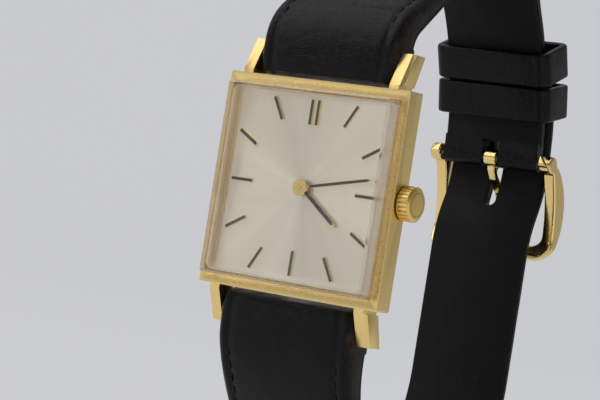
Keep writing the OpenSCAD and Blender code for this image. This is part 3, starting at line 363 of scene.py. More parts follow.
@dataclass(frozen=True)
class CloudedFinish:
    """Lacquer, stone or rubber, whose colour clouds into a second one."""

    name: str
    colour: Colour
    cloud: Colour
    roughness: float | Ramp
    clouds: Ramp = (0.35, 0.7, 0.0, 1.0)
    scale: float = 1500.0
    detail: float = 3.0
    depth: float = 0.000004

    def make(self) -> Material:
        """Build the material, with an even roughness or one that follows the clouds.

        Returns:
            The material.
        """
        bench = NodeBench(self.name)
        cloud = bench.noise(self.scale, self.detail)
        share = bench.spread(cloud, self.clouds)
        even = isinstance(self.roughness, float)
        return bench.surface({
            "Base Color": bench.blend(share, self.colour, self.cloud),
            "Roughness": self.roughness if even else bench.spread(cloud, self.roughness),
            "Normal": bench.bump(cloud, self.depth)})


@dataclass(frozen=True)
class LeatherFinish:
    """Smooth calf with fine pores, creases and a raw, browner edge."""

    name: str
    colour: Colour
    worn: Colour
    roughness: float
    gloss: float = 0.15
    edge: Colour = (0.075, 0.042, 0.026)
    speck: Colour = (0.30, 0.30, 0.30)
    speck_share: float = 0.12
    speck_scale: float = 2600.0
    specks: Ramp = (0.74, 0.80, 0.0, 1.0)
    pore_scale: float = 3200.0
    pore_walls: Ramp = (0.0, 0.14, 0.0, 1.0)
    fold_scale: float = 420.0
    fold_stretch: Triple = (0.45, 1.0, 1.0)
    creases: Ramp = (0.0, 0.035, 0.0, 1.0)
    wear_scale: float = 210.0
    wear: Ramp = (0.42, 0.75, 0.0, 0.55)
    fibre_scale: float = 1500.0
    fibres: Ramp = (0.35, 0.65, 0.25, 1.0)
    wave_scale: float = 130.0
    waves: float = 14.0
    relief: float = 0.6
    depth: float = 0.00004
    shown: float = 0.7

    def make(self) -> Material:
        """Build the leather's material.

        Returns:
            The material.
        """
        bench = NodeBench(self.name)
        cells = bench.add("TexVoronoi", {"Vector": bench.at_object(), "Scale": self.pore_scale},
                          feature="DISTANCE_TO_EDGE")
        pores = bench.spread(cells.outputs["Distance"], self.pore_walls)
        fold = bench.noise(self.fold_scale, detail=4.0, where=bench.at_object(self.fold_stretch))
        crease = bench.math("ABSOLUTE", bench.math("SUBTRACT", fold, 0.5))
        wear = bench.noise(self.wear_scale, detail=4.0)
        specks = bench.spread(bench.noise(self.speck_scale, detail=1.0), self.specks)
        colour = bench.blend(bench.spread(wear, self.wear), self.colour, self.worn)
        colour = bench.blend(bench.math("MULTIPLY", specks, self.speck_share), colour, self.speck)
        raw = bench.add("Attribute", attribute_name="raw_edge", attribute_type="GEOMETRY").outputs["Fac"]
        fibre = bench.spread(bench.noise(self.fibre_scale), self.fibres)
        height = bench.math("MULTIPLY", bench.noise(self.wave_scale), self.waves)
        for pattern in (pores, bench.spread(crease, self.creases)):
            height = bench.math("ADD", height, bench.math("MULTIPLY", pattern, self.relief))
        return bench.surface({
            "Base Color": bench.blend(bench.math("MULTIPLY", raw, fibre), colour, self.edge),
            "Roughness": bench.wander(wear, self.roughness), "Specular IOR Level": self.gloss,
            "Normal": bench.bump(height, self.depth, self.shown)})


@dataclass(frozen=True)
class ThreadFinish:
    """Waxed black thread, with the twist of its plies."""

    name: str = "waxed_thread"
    colour: Colour = (0.005, 0.005, 0.006)
    light: Colour = (0.011, 0.011, 0.012)
    twist: float = 1400.0
    twist_depth: float = 0.00003
    loose: float = 1.5
    roughness: float = 0.62
    gloss: float = 0.2

    def make(self) -> Material:
        """Build the thread's material.

        Returns:
            The material.
        """
        bench = NodeBench(self.name)
        plies = {"Vector": bench.at_object(), "Scale": self.twist, "Distortion": self.loose}
        wave = bench.add("TexWave", plies).outputs["Fac"]
        return bench.surface({
            "Base Color": bench.blend(wave, self.colour, self.light), "Roughness": self.roughness,
            "Specular IOR Level": self.gloss, "Normal": bench.bump(wave, self.twist_depth)})


@dataclass(frozen=True)
class PaperFinish:
    """Matt pale paper of the studio's floor and backdrop, which glows white in reflections as painted light.
    """

    name: str = "pale_paper"
    colour: Colour = (0.68, 0.685, 0.715)
    darker: float = 0.97
    tone_scale: float = 2.0
    steady: float = 0.78
    white: Colour = (0.97, 0.98, 1.0)
    # Painted light: how strongly the paper glows in reflections, more in front of the watch than behind it.
    reflected_glow: Ramp = (-0.3, 0.4, 0.93, 0.41)

    def make(self) -> Material:
        """Build the paper's material, part of whose tone doesn't depend on the lamps.

        Returns:
            The material.
        """
        bench = NodeBench(self.name)
        tone = tuple(channel * self.darker for channel in self.colour)
        colour = bench.blend(bench.noise(self.tone_scale, detail=2.0), self.colour, tone)
        paper = bench.add("BsdfDiffuse", {"Color": colour})
        path = bench.add("LightPath").outputs
        seen = bench.math("MAXIMUM", path["Is Camera Ray"], path["Is Transmission Ray"])
        # Painted light: reflected rays see the paper glow white, strongest in front of the watch.
        glossy = path["Is Glossy Ray"]
        level = bench.spread(bench.axes("Object")[1], self.reflected_glow)
        strength = bench.math("MAXIMUM", seen, bench.math("MULTIPLY", glossy, level))
        glow = bench.add("Emission", {"Color": bench.blend(glossy, colour, self.white), "Strength": strength})
        share = bench.math("MAXIMUM", bench.math("MULTIPLY", seen, self.steady), glossy)
        return bench.finish(bench.share(share, paper, glow))


class Finishes:
    """Every material of the scene, made once."""

    def __init__(self) -> None:
        """Make the materials."""
        gold = ((0.88, 0.655, 0.27), (0.74, 0.52, 0.19))
        self.gold = MetalFinish("satin_gold", *gold, 0.30).make()
        self.bright_gold = MetalFinish("bright_gold", *gold, 0.16, line_depth=0.0000002).make()
        self.steel = MetalFinish("polished_steel", (0.62, 0.63, 0.65), (0.50, 0.51, 0.53), 0.25).make()
        self.gilt = MetalFinish("frosted_gilt", (0.76, 0.55, 0.30), (0.66, 0.45, 0.22), 0.42).make()
        self.brass = MetalFinish("wheel_brass", (0.80, 0.62, 0.30), (0.66, 0.48, 0.20), 0.30).make()
        self.blued = MetalFinish("blued_spring", (0.06, 0.10, 0.32), (0.10, 0.08, 0.26), 0.30).make()
        self.fluted = FlutedFinish().make()
        self.crystal = AcrylicFinish().make()
        self.dial = DialFinish().make()
        black = ((0.016, 0.015, 0.014), (0.04, 0.036, 0.032))
        ramps = ((0.0, 1.0, 0.16, 0.3), (0.4, 0.8, 0.0, 0.5))
        self.lacquer = CloudedFinish("black_gloss_lacquer", *black, *ramps, 1800.0, 2.0, 0.000003).make()
        calf = ((0.0034, 0.0034, 0.0037), (0.0070, 0.0068, 0.0070))
        self.leather = LeatherFinish("black_calf", *calf, 0.20, 0.16).make()
        soft = ((0.0105, 0.0100, 0.0105), (0.015, 0.014, 0.014))
        self.lining = LeatherFinish("black_lining", *soft, 0.62).make()
        self.thread = ThreadFinish().make()
        self.ruby = CloudedFinish("red_stone", (0.55, 0.03, 0.10), (0.33, 0.018, 0.06), 0.12).make()
        self.rubber = CloudedFinish("seal_rubber", (0.03, 0.03, 0.03), (0.018, 0.018, 0.018), 0.7).make()
        self.paper = PaperFinish().make()


def clamp(value: float) -> float:
    """Return a value held between 0 and 1."""
    return min(max(value, 0.0), 1.0)


def placed(name: str, data: bpy.types.ID) -> Piece:
    """Put a mesh, lamp or camera into the scene, at the origin.

    Args:
        name: Its name.
        data: The mesh, lamp or camera.

    Returns:
        Its object.
    """
    obj = bpy.data.objects.new(name, data)
    bpy.context.scene.collection.objects.link(obj)
    return obj


def smooth(mesh: bpy.types.Mesh, sharp: float) -> None:
    """Shade a mesh smooth, with its hard corners kept.

    Args:
        mesh: The mesh.
        sharp: Angle in degrees above which an edge stays sharp.
    """
    for polygon in mesh.polygons:
        polygon.use_smooth = True
    mesh.set_sharp_from_angle(angle=math.radians(sharp))


def skin(rings: Sequence[Sequence[Vector]], looped: bool = False) -> tuple[list[Vector], list[list[int]]]:
    """Join rings of equal length into a closed skin.

    Args:
        rings: The rings in order.
        looped: Whether the last ring joins the first. Otherwise a face closes each end.

    Returns:
        Its points and faces.
    """
    size = len(rings[0])
    total = len(rings)
    faces = []
    for i in range(total if looped else total - 1):
        here = i * size
        after = (i + 1) % total * size
        faces += [[here + j, after + j, after + (j + 1) % size, here + (j + 1) % size] for j in range(size)]
    if not looped:
        faces += [list(range(size)), list(range(total * size - 1, (total - 1) * size - 1, -1))]
    return [point for ring in rings for point in ring], faces


def piece_from(name: str, verts: Sequence[Sequence[float]], faces: Sequence[Sequence[int]],
               material: Material, sharp: float) -> Piece:
    """Make a smooth-shaded mesh piece at the origin.

    Args:
        name: The piece's name.
        verts: Points in millimetres.
        faces: Corner numbers of each face.
        material: Its material.
        sharp: Angle in degrees above which an edge stays sharp.

    Returns:
        The new piece.
    """
    mesh = bpy.data.meshes.new(name)
    mesh.from_pydata([Vector(vert) * MM for vert in verts], [], faces)
    mesh.materials.append(material)
    work = bmesh.new()
    work.from_mesh(mesh)
    bmesh.ops.remove_doubles(work, verts=work.verts, dist=MERGE)
    bmesh.ops.recalc_face_normals(work, faces=work.faces)
    work.to_mesh(mesh)
    work.free()
    smooth(mesh, sharp)
    return placed(name, mesh)


def modify(obj: Piece, kind: str, **settings: object) -> None:
    """Add a modifier.

    Args:
        obj: The piece.
        kind: The modifier's type.
        **settings: Its settings.
    """
    modifier = obj.modifiers.new(kind.lower(), kind)
    for key, value in settings.items():
        setattr(modifier, key, value)


def apply(obj: Piece, sharp: float) -> None:
    """Turn a piece with modifiers into a plain, smooth-shaded mesh.

    Args:
        obj: The piece.
        sharp: Angle in degrees above which an edge stays sharp.
    """
    depsgraph = bpy.context.evaluated_depsgraph_get()
    mesh = bpy.data.meshes.new_from_object(obj.evaluated_get(depsgraph))
    obj.modifiers.clear()
    obj.data = mesh
    smooth(mesh, sharp)


def settle(obj: Piece, body: Body, node: str | None = None) -> None:
    """Put a finished piece on its body and hide the solid that it stands for.

    Args:
        obj: The piece.
        body: The body that it rides on.
        node: The solid that it stands for, if any.
    """
    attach(obj, body.value)
    if node is not None:
        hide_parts(node)
    LOG.info("%s: %d faces", obj.name, len(obj.data.polygons))


@dataclass(frozen=True)
class SoftEdge:
    """A copy of a hard node with its corners rounded, which stands for that node."""

    node: str
    name: str
    radius: float
    body: Body
    slot: Slot = Slot.GOLD
    segments: int = 3
    voxel: float = 0.0
    angle: float = 32.0
    merge: float = 2e-6
    flat: float = 0.01
    any_shape: float = 3.14
    sharp: Pair = (24.0, 60.0)
    relaxing: int = 6
    fewest: int = 2

    def make(self, nodes: dict[str, Piece], material: Material) -> None:
        """Copy the node's mesh, merge it and round its edges, or relax it whole if it has a voxel.

        Args:
            nodes: The frame's nodes by name.
            material: The piece's material.
        """
        mesh = nodes[self.node].data.copy()
        mesh.name = self.name
        mesh.materials.clear()
        mesh.materials.append(material)
        work = bmesh.new()
        work.from_mesh(mesh)
        bmesh.ops.remove_doubles(work, verts=work.verts, dist=self.merge)
        bmesh.ops.join_triangles(work, faces=work.faces, angle_face_threshold=self.flat,
                                 angle_shape_threshold=self.any_shape)
        work.to_mesh(mesh)
        work.free()
        obj = placed(self.name, mesh)
        if self.voxel > 0:
            passes = max(int(self.relaxing * (self.radius / (2 * self.voxel)) ** 2), self.fewest)
            modify(obj, "REMESH", mode="VOXEL", voxel_size=self.voxel * MM)
            modify(obj, "SMOOTH", factor=0.5, iterations=passes)
        else:
            modify(obj, "BEVEL", width=self.radius * MM, segments=self.segments, limit_method="ANGLE",
                   angle_limit=math.radians(self.angle), use_clamp_overlap=True, miter_outer="MITER_ARC")
        bevelled, relaxed = self.sharp
        apply(obj, relaxed if self.voxel > 0 else bevelled)
        settle(obj, self.body, self.node)


class ScatterTree:
    """A Geometry Nodes tree that lays one small form at each of a set of turned points."""

    sharp = 35.0

    def __init__(self, name: str, form: Callable[[Tree, Sequence[Socket]], Socket]) -> None:
        """Build the tree.

        Args:
            name: The tree's name.
            form: Adds the small form's nodes and returns its geometry, given the tree and its inputs.
        """
        tree = bpy.data.node_groups.new(name, "GeometryNodeTree")
        self.tree = tree
        self.inputs = {}
        for label in ("Geometry", "Length", "Width", "Height", "Material"):
            kind = "NodeSocket" + (label if label in ("Geometry", "Material") else "Float")
            self.inputs[label] = tree.interface.new_socket(label, in_out="INPUT", socket_type=kind).identifier
        tree.interface.new_socket("Geometry", in_out="OUTPUT", socket_type="NodeSocketGeometry")
        inputs = wire(tree, "NodeGroupInput").outputs
        along, up = (wire(tree, "GeometryNodeInputNamedAttribute", {"Name": label}, data_type="FLOAT_VECTOR")
                     for label in ("along", "up"))
        turn = wire(tree, "FunctionNodeAxesToRotation", {
            "Primary Axis": along.outputs["Attribute"], "Secondary Axis": up.outputs["Attribute"]},
            primary_axis="X", secondary_axis="Z")
        place = wire(tree, "GeometryNodeInstanceOnPoints", {
            "Points": inputs["Geometry"], "Instance": form(tree, inputs),
            "Rotation": turn.outputs["Rotation"]})
        real = wire(tree, "GeometryNodeRealizeInstances", {"Geometry": place.outputs["Instances"]})
        dressed = wire(tree, "GeometryNodeSetMaterial", {
            "Geometry": real.outputs["Geometry"], "Material": inputs["Material"]})
        wire(tree, "NodeGroupOutput", {"Geometry": dressed.outputs["Geometry"]})

    def lay(self, name: str, spots: Sequence[Spot], size: Triple, material: Material) -> Piece:
        """Lay the form on a set of spots and return it as one plain mesh.

        Args:
            name: The piece's name.
            spots: Place in millimetres, length direction and upward direction of each form.
            size: Length, width and height of a form in millimetres.
            material: Its material.

        Returns:
            The piece.
        """
        mesh = bpy.data.meshes.new(name)
        mesh.from_pydata([spot[0] * MM for spot in spots], [], [])
        for attribute, column in (("along", 1), ("up", 2)):
            layer = mesh.attributes.new(attribute, "FLOAT_VECTOR", "POINT")
            for index, spot in enumerate(spots):
                layer.data[index].vector = spot[column]
        obj = placed(name, mesh)
        modifier = obj.modifiers.new("lay", "NODES")
        modifier.node_group = self.tree
        for label, value in zip(("Length", "Width", "Height"), size):
            modifier[self.inputs[label]] = value * MM
        modifier[self.inputs["Material"]] = material
        apply(obj, self.sharp)
        return obj


def form_size(tree: Tree, inputs: Sequence[Socket]) -> Socket:
    """Return a form's length, width and height as one vector."""
    parts = (inputs[label] for label in ("Length", "Width", "Height"))
    return wire(tree, "ShaderNodeCombineXYZ", dict(enumerate(parts))).outputs[0]


def stitch_form(tree: Tree, inputs: Sequence[Socket]) -> Socket:
    """Add one stitch, a short bead of thread.

    Args:
        tree: The tree.
        inputs: Its inputs.

    Returns:
        The stitch's geometry.
    """
    bead = wire(tree, "GeometryNodeMeshIcoSphere", {"Radius": 0.5, "Subdivisions": 3}).outputs["Mesh"]
    size = form_size(tree, inputs)
    return wire(tree, "GeometryNodeTransform", {"Geometry": bead, "Scale": size}).outputs[0]


def baton_form(tree: Tree, inputs: Sequence[Socket]) -> Socket:
    """Add one hour baton, a bar that stands on the dial.

    Args:
        tree: The tree.
        inputs: Its inputs.

    Returns:
        The bar's geometry.
    """
    bar = wire(tree, "GeometryNodeMeshCube", {"Size": form_size(tree, inputs)}).outputs["Mesh"]
    half = wire(tree, "ShaderNodeMath", {0: inputs["Height"], 1: 0.5}, operation="MULTIPLY").outputs[0]
    lift = wire(tree, "ShaderNodeCombineXYZ", {2: half}).outputs[0]
    return wire(tree, "GeometryNodeTransform", {"Geometry": bar, "Translation": lift}).outputs[0]


@dataclass(frozen=True)
class Station:
    """A place on the strap: its middle line's point and heading, and the strap part's side."""

    y: float
    z: float
    heading: float
    flip: float

    def point(self, x: float, out: float) -> Vector:
        """Return a point of the cross section, by its distance across and outwards from the middle line."""
        y = self.y - out * math.cos(self.heading)
        return Vector((x, y, self.flip * (self.z + out * math.sin(self.heading))))

    def along(self) -> Vector:
        """Return the direction in which the strap runs."""
        return Vector((0.0, math.sin(self.heading), self.flip * math.cos(self.heading)))

    def outward(self) -> Vector:
        """Return the direction away from the wrist."""
        return Vector((0.0, -math.cos(self.heading), self.flip * math.sin(self.heading)))


@dataclass(frozen=True)
class Route:
    """Middle line of a strap part, as arcs of radius and turn, or straight steps of radius 0 and length.

    Its flip is 1 for the part at 12 o'clock and -1 for the part at 6.
    """

    steps: tuple[Pair, ...]
    flip: float
    start: Pair = (-1.9, 15.4)

    def length(self) -> float:
        """Return the route's whole length."""
        return sum(self.step_length(*step) for step in self.steps)

    def step_length(self, radius: float, amount: float) -> float:
        """Return one step's length."""
        return amount if radius == 0 else abs(radius * math.radians(amount))

    def at(self, run: float) -> Station:
        """Return the station at a distance from the spring bar.

        Args:
            run: The distance, which may be negative or beyond the end.

        Returns:
            The station.
        """
        y, z = self.start
        heading = 0.0
        left = run
        for number, (radius, amount) in enumerate(self.steps):
            size = self.step_length(radius, amount)
            here = left if left <= size or number == len(self.steps) - 1 else size
            if radius == 0 or left < 0:
                y += here * math.sin(heading)
                z += here * math.cos(heading)
            else:
                turned = heading + here / radius
                y += radius * (math.cos(heading) - math.cos(turned))
                z += radius * (math.sin(turned) - math.sin(heading))
                heading = turned
            left -= here
            if left <= 0:
                break
        return Station(y, z, heading, self.flip)


@dataclass
class StrapPart:
    """One half of the strap, with sizes in millimetres: padded leather, its lining and its stitches."""

    name: str
    route: Route
    body: Body
    node: str
    end_thickness: float
    point: float
    width: float = 18.8
    buckle_width: float = 14.0
    least_half: float = 0.3
    thickness: float = 3.6
    lining: float = 0.7
    lined_from: float = 2.49
    lined_near: Pair = (2.4, 0.3)
    lined_top: tuple[Pair, ...] = ((0.08, 0.0), (0.04, -0.2))
    lined_low: tuple[Pair, ...] = ((0.12, 0.15), (0.3, 0.0))
    nose: float = 2.6
    nose_rings: int = 9
    point_rings: int = 14
    nose_power: float = 5.0
    nose_from: float = 0.6
    nose_draw: float = 0.35
    taper: Pair = (3.0, 46.0)
    swell_height: float = 0.8
    swell_reach: float = 13.0
    edge_height: float = 0.50
    edge_rise: float = 0.32
    edge_round: float = 0.75
    crown: float = 0.18
    full: float = 0.13
    full_span: Pair = (11.0, 7.0)
    full_shares: Pair = (0.15, 0.85)
    dome: float = 0.8
    dome_half: float = 7.0
    uneven: tuple[Pair, ...] = ((2.0, 0.05), (7.0, 0.02))
    uneven_scale: float = 0.16
    uneven_side: float = 3.0
    groove: float = 0.06
    groove_width: float = 0.34
    marks: tuple[float, ...] = (0.0, 0.06, 0.2, 0.42, 0.75, 1.15, 1.4, 1.6, 1.75, 1.9, 2.1, 2.4, 2.9, 3.7,
                                4.7, 5.9)
    raw_depth: float = 0.42
    raw_reach: float = 7.0
    raw_front: float = 8.0
    raw_share: float = 0.8
    stitch_inset: float = 1.75
    stitch_pitch: float = 1.55
    stitch_start: float = 4.6
    stitch_lift: float = 0.03
    look_ahead: float = 0.4
    step: float = 0.6

    def share(self, run: float) -> float:
        """Return how far along the taper a place is, from 0 to 1."""
        return clamp((run - self.taper[0]) / (self.taper[1] - self.taper[0]))

    def half_width(self, run: float) -> float:
        """Return half the strap's width, drawn in at its nose and at a pointed end.

        Args:
            run: Distance from the spring bar.

        Returns:
            Half the width.
        """
        half = (self.width + (self.buckle_width - self.width) * self.share(run)) / 2
        beyond = run - (self.route.length() - self.point)
        if self.point > 0 and beyond > 0:
            half *= math.sqrt(max(1.0 - (beyond / self.point) ** 2, 0.0))
        if run < self.nose_from:
            half -= self.nose_draw * min((self.nose_from - run) / self.nose, 1.0) ** 2
        return max(half, self.least_half)

    def depth(self, run: float) -> float:
        """Return the strap's thickness, with its lining."""
        return self.thickness + (self.end_thickness - self.thickness) * self.share(run)

    def end_round(self, run: float) -> float:
        """Return the share of the thickness left at the round nose beside the case."""
        past = max(-run, 0.0) / self.nose
        return max(1.0 - past ** self.nose_power, 0.0) ** (1 / self.nose_power)

    def swell(self, run: float) -> float:
        """Return how much further the padding stands out where it meets the case."""
        fade = clamp((run + self.nose) / self.swell_reach)
        return self.swell_height * (0.5 + 0.5 * math.cos(math.pi * fade))

    def height(self, inset: float, half: float, run: float) -> float:
        """Return how far the padded top stands above the strap's middle line.

        Args:
            inset: Distance from the strap's edge.
            half: Half the strap's width there.
            run: Distance from the spring bar. Beside the case the edges stand fuller.

        Returns:
            The height.
        """
        full = self.full * clamp((self.full_span[0] - run) / self.full_span[1])
        edge = self.edge_height + full
        rise = self.edge_rise - full * self.full_shares[0]
        edge += rise * math.sin(min(inset / self.edge_round, 1.0) * math.pi / 2)
        ramp = clamp((inset - self.edge_round) / max(half - self.edge_round, 0.01))
        crown = (self.crown - full * self.full_shares[1]) * math.sin(ramp * math.pi / 2) ** self.dome
        groove = self.groove * math.exp(-((inset - self.stitch_inset) / self.groove_width) ** 2)
        deep = self.depth(run) / 2
        floor = self.lining - deep
        return floor + (deep + self.swell(run) - floor) * (edge + crown - groove)

    def section(self, run: float) -> list[Vector]:
        """Return the leather's ring of points at a place.

        Args:
            run: Distance from the spring bar.

        Returns:
            The ring, top first, then the bottom.
        """
        station = self.route.at(run)
        half = self.half_width(run)
        left = self.end_round(run)
        base = -self.depth(run) / 2
        base = base * left if run <= self.lined_from else base + self.lining
        scale = min(half / self.dome_half, 1.0)
        insets = [mark * scale for mark in self.marks]
        ring = []
        for x in [-half + inset for inset in insets] + [0.0] + [half - inset for inset in reversed(insets)]:
            high = self.height(half - abs(x), half, run)
            place = Vector((x * self.uneven_scale, run * self.uneven_scale, 0.0))
            place.z = self.route.flip * self.uneven_side
            high += sum(tall * noise.noise(place * fine) for fine, tall in self.uneven)
            ring.append(station.point(x, high * left))
        return ring + [station.point(half * share, base) for share in (1.0, 0.5, 0.0, -0.5, -1.0)]

    def runs(self, start: float, end: float) -> list[float]:
        """Return the distances at which rings stand, close together where the nose and the point round.

        Args:
            start: The first distance, below 0 for the nose.
            end: The last distance.

        Returns:
            The distances, one of which is where the lining begins.
        """
        quarter = math.pi / 2
        nose = [start - start * math.sin(k * quarter / self.nose_rings) for k in range(self.nose_rings)]
        first = max(start, 0.0)
        count = max(int((end - first) / self.step), 1)
        body = [first + (end - first) * k / count for k in range(count + 1)]
        if self.point > 0:
            body = [run for run in body if run < end - self.point]
            body += [end - self.point + self.point * math.sin(k * quarter / self.point_rings)
                     for k in range(self.point_rings + 1)]
        near, reach = self.lined_near
        body = [self.lined_from if abs(run - near) < reach else run for run in body]
        return nose + body if start < 0 else body

    def leather(self, material: Material, end: float) -> Piece:
        """Make the padded leather, with its raw side edges marked near the case.

        Args:
            material: The leather.
            end: Distance from the spring bar at which it stops.

        Returns:
            The leather's piece.
        """
        rings = [self.section(run) for run in self.runs(-self.nose, end)]
        obj = piece_from(self.name + "_leather", *skin(rings), material, LEATHER_ANGLE)
        layer = obj.data.attributes.new("raw_edge", "FLOAT", "POINT")
        for index, vertex in enumerate(obj.data.vertices):
            x, y, z = (value / MM for value in vertex.co)
            near = max(0.0, 1.0 - max(abs(z) - self.route.start[1], 0.0) / self.raw_reach)
            side = 1.0 if abs(x) > self.width / 2 - self.raw_depth and y < self.raw_front else 0.0
            layer.data[index].value = near * side * self.raw_share
        return obj

    def backing(self, material: Material, end: float) -> Piece:
        """Make the lining, a thin flat strip with rounded sides.

        Args:
            material: The lining's leather.
            end: Distance from the spring bar at which it stops.

        Returns:
            The lining's piece.
        """
        rings = []
        for run in (run for run in self.runs(0.0, end) if self.lined_from <= run <= end):
            half = self.half_width(run)
            low = -self.depth(run) / 2
            top = low + self.lining
            right = [(half - inset, top + rise) for inset, rise in self.lined_top]
            right += [(half - inset, low + rise) for inset, rise in self.lined_low]
            outline = right + [(-x, out) for x, out in reversed(right)]
            rings.append([self.route.at(run).point(x, out) for x, out in outline])
        return piece_from(self.name + "_leather_lining", *skin(rings), material, ROUND_ANGLE)

    def stitch_spots(self, end: float) -> list[Spot]:
        """Return the places of the stitches along both edges.

        Args:
            end: Distance from the spring bar at which the rows stop.

        Returns:
            Place, direction and upward direction of each stitch.
        """
        spots = []
        for number in range(int((end - self.stitch_start) / self.stitch_pitch) + 1):
            run = self.stitch_start + number * self.stitch_pitch
            station = self.route.at(run)
            half = self.half_width(run)
            slope = (self.half_width(run + self.look_ahead) - half) / self.look_ahead
            high = self.height(self.stitch_inset, half, run) + self.stitch_lift
            for side in (-1.0, 1.0):
                way = (station.along() + Vector((side * slope, 0.0, 0.0))).normalized()
                spots.append((station.point(side * (half - self.stitch_inset), high), way, station.outward()))
        return spots


def rounded_rectangle(half_wide: float, half_high: float, radius: float, steps: int
                      ) -> list[tuple[float, float, float, float]]:
    """Return the outline of a rounded rectangle about the origin.

    Args:
        half_wide: Half its width.
        half_high: Half its height.
        radius: Radius of its corners.
        steps: Steps in each corner.

    Returns:
        Each point and its outward direction, once round.
    """
    outline = []
    for wide, high, first in ((1, 1, 0), (-1, 1, 90), (-1, -1, 180), (1, -1, 270)):
        for k in range(steps + 1):
            angle = math.radians(first + 90 * k / steps)
            way = (math.cos(angle), math.sin(angle))
            outline.append((wide * (half_wide - radius) + radius * way[0],
                            high * (half_high - radius) + radius * way[1], *way))
    return outline


@dataclass
class Strap:
    """Both strap parts, the keepers and the stitching, with sizes in millimetres."""

    finishes: Finishes
    back_arc: float = 35.0
    tail_gap: float = 2.42
    hole_radius: float = 0.9
    hole_pitch: float = 5.5
    hole_sides: int = 24
    hole_reach: float = 4.0
    hole_angle: float = 38.0
    spare_holes: int = 2
    tongue_hole: float = 9.0
    tongue_stretch: float = 2.1
    stitch_size: Triple = (1.15, 0.34, 0.26)
    leather_gap: float = 2.2
    lining_gap: float = 2.45
    stitch_gaps: Pair = (3.2, 2.6)
    tab_starts: Triple = (-2.6, -2.0, -1.0)
    tab_thick: float = 1.19
    tab_flat: float = 1.1
    tab_round: float = 1.2
    tab_thin: float = 0.12
    tab_rings: int = 8
    tab_sides: Pair = (1.25, 6.98)
    tab_bevel: float = 0.3
    tab_rim: tuple[Pair, ...] = ((0.6, 0.97), (0.15, 0.8), (0.0, 0.4))
    keeper_places: Pair = (7.9, 12.85)
    keeper_radii: Pair = (0.9, 0.32)
    keeper_steps: tuple[int, int] = (8, 4)
    keeper_wall: float = 1.0
    keeper_length: float = 4.4
    keeper_half: float = 7.4
    keeper_low: float = -1.28
    keeper_high: float = 1.25

    def build(self) -> None:
        """Make every piece of the strap."""
        curve = ((0, 1.5), (5.5, 53), (0, 17), (13.2, 88), (self.back_arc, 37))
        plain = ((0, 1.3), (17.5, 27.6), (0, 6.3), (18.7, 35), (19.9, 117.4), (0, 16.91))
        tail = ((-14, -23.15), (14, 23.15), (self.back_arc + self.tail_gap, 24))
        short = StrapPart("strap_short", Route(curve, 1.0), Body.SHORT, "strap_12", end_thickness=2.2,
                          point=0.0)
        long = StrapPart("strap_long", Route(plain + tail, -1.0), Body.LONG, "strap_6", end_thickness=1.8,
                         point=6.0)
        threads = ScatterTree("stitch_rows", stitch_form)
        self.build_short(short, threads)
        self.build_long(long, Route(plain, -1.0).length() + self.tongue_hole, threads)
        bar = short.route.length()
        self.keeper("fixed_keeper", short.route.at(bar - self.keeper_places[0]), Body.SHORT)
        self.keeper("free_keeper", short.route.at(bar - self.keeper_places[1]), Body.KEEPER)

    def sew(self, part: StrapPart, leather: Piece, lining: Piece, threads: ScatterTree, end: float) -> None:
        """Put a part's leather and lining on their body, with its stitches.

        Args:
            part: The part.
            leather: Its padded leather.
            lining: Its lining.
            threads: The tree that lays stitches.
            end: Distance from the spring bar at which the stitches stop.
        """
        settle(leather, part.body, part.node)
        settle(lining, part.body, part.node + "_lining")
        spots = part.stitch_spots(end)
        rows = threads.lay(part.name + "_stitches", spots, self.stitch_size, self.finishes.thread)
        settle(rows, part.body)

    def build_short(self, part: StrapPart, threads: ScatterTree) -> None:
        """Make the part that carries the buckle, with two tabs round the buckle's bar.

        Args:
            part: The part.
            threads: The tree that lays stitches.
        """
        whole = part.route.length()
        leather = part.leather(self.finishes.leather, whole - self.leather_gap)
        work = bmesh.new()
        work.from_mesh(leather.data)
        for side in (-1.0, 1.0):
            tab = self.tab(part, whole, side)
            work.from_mesh(tab.data)
            bpy.data.objects.remove(tab)
        work.to_mesh(leather.data)
        work.free()
        smooth(leather.data, LEATHER_ANGLE)
        lining = part.backing(self.finishes.lining, whole - self.lining_gap)
        self.sew(part, leather, lining, threads, whole - self.stitch_gaps[0])

    def tab(self, part: StrapPart, whole: float, side: float) -> Piece:
        """Make one tab of leather that folds round the buckle's bar.

        Args:
            part: The strap part.
            whole: The part's length, where the bar is.
            side: 1 or -1, the side of the tongue that it is on.

        Returns:
            The tab.
        """
        inner, outer = self.tab_sides
        rings = []
        turns = (k * math.pi / 2 / self.tab_rings for k in range(self.tab_rings + 1))
        for run in (*self.tab_starts, *(self.tab_thick * math.sin(turn) for turn in turns)):
            station = part.route.at(whole + min(run, 0.0))
            ahead = max(run, 0.0)
            thick = self.tab_flat
            if ahead > 0:
                thick = self.tab_thick * math.sqrt(max(1.0 - (ahead / self.tab_round) ** 2, 0.0))
            thick = max(thick, self.tab_thin)
            outline = [(inner, -thick), (inner, thick), (inner + self.tab_bevel, thick)]
            outline += [(outer - inset, thick * share) for inset, share in self.tab_rim]
            outline.append((outer, -thick))
            rings.append([station.point(side * x, out) + station.along() * ahead for x, out in outline])
        obj = piece_from(part.name + "_tab", *skin(rings), self.finishes.leather, LEATHER_ANGLE)
        obj.data.attributes.new("raw_edge", "FLOAT", "POINT")
        return obj

    def build_long(self, part: StrapPart, tongue_run: float, threads: ScatterTree) -> None:
        """Make the part with the holes and the tail.

        Args:
            part: The part.
            tongue_run: Distance from the spring bar of the hole that the tongue is in.
            threads: The tree that lays stitches.
        """
        whole = part.route.length()
        leather = part.leather(self.finishes.leather, whole)
        lining = part.backing(self.finishes.lining, whole)
        punch = self.punches(part, tongue_run)
        for obj in (leather, lining):
            modify(obj, "BOOLEAN", object=punch, solver="EXACT")
            apply(obj, LEATHER_ANGLE)
        bpy.data.objects.remove(punch)
        self.sew(part, leather, lining, threads, whole - self.stitch_gaps[1])

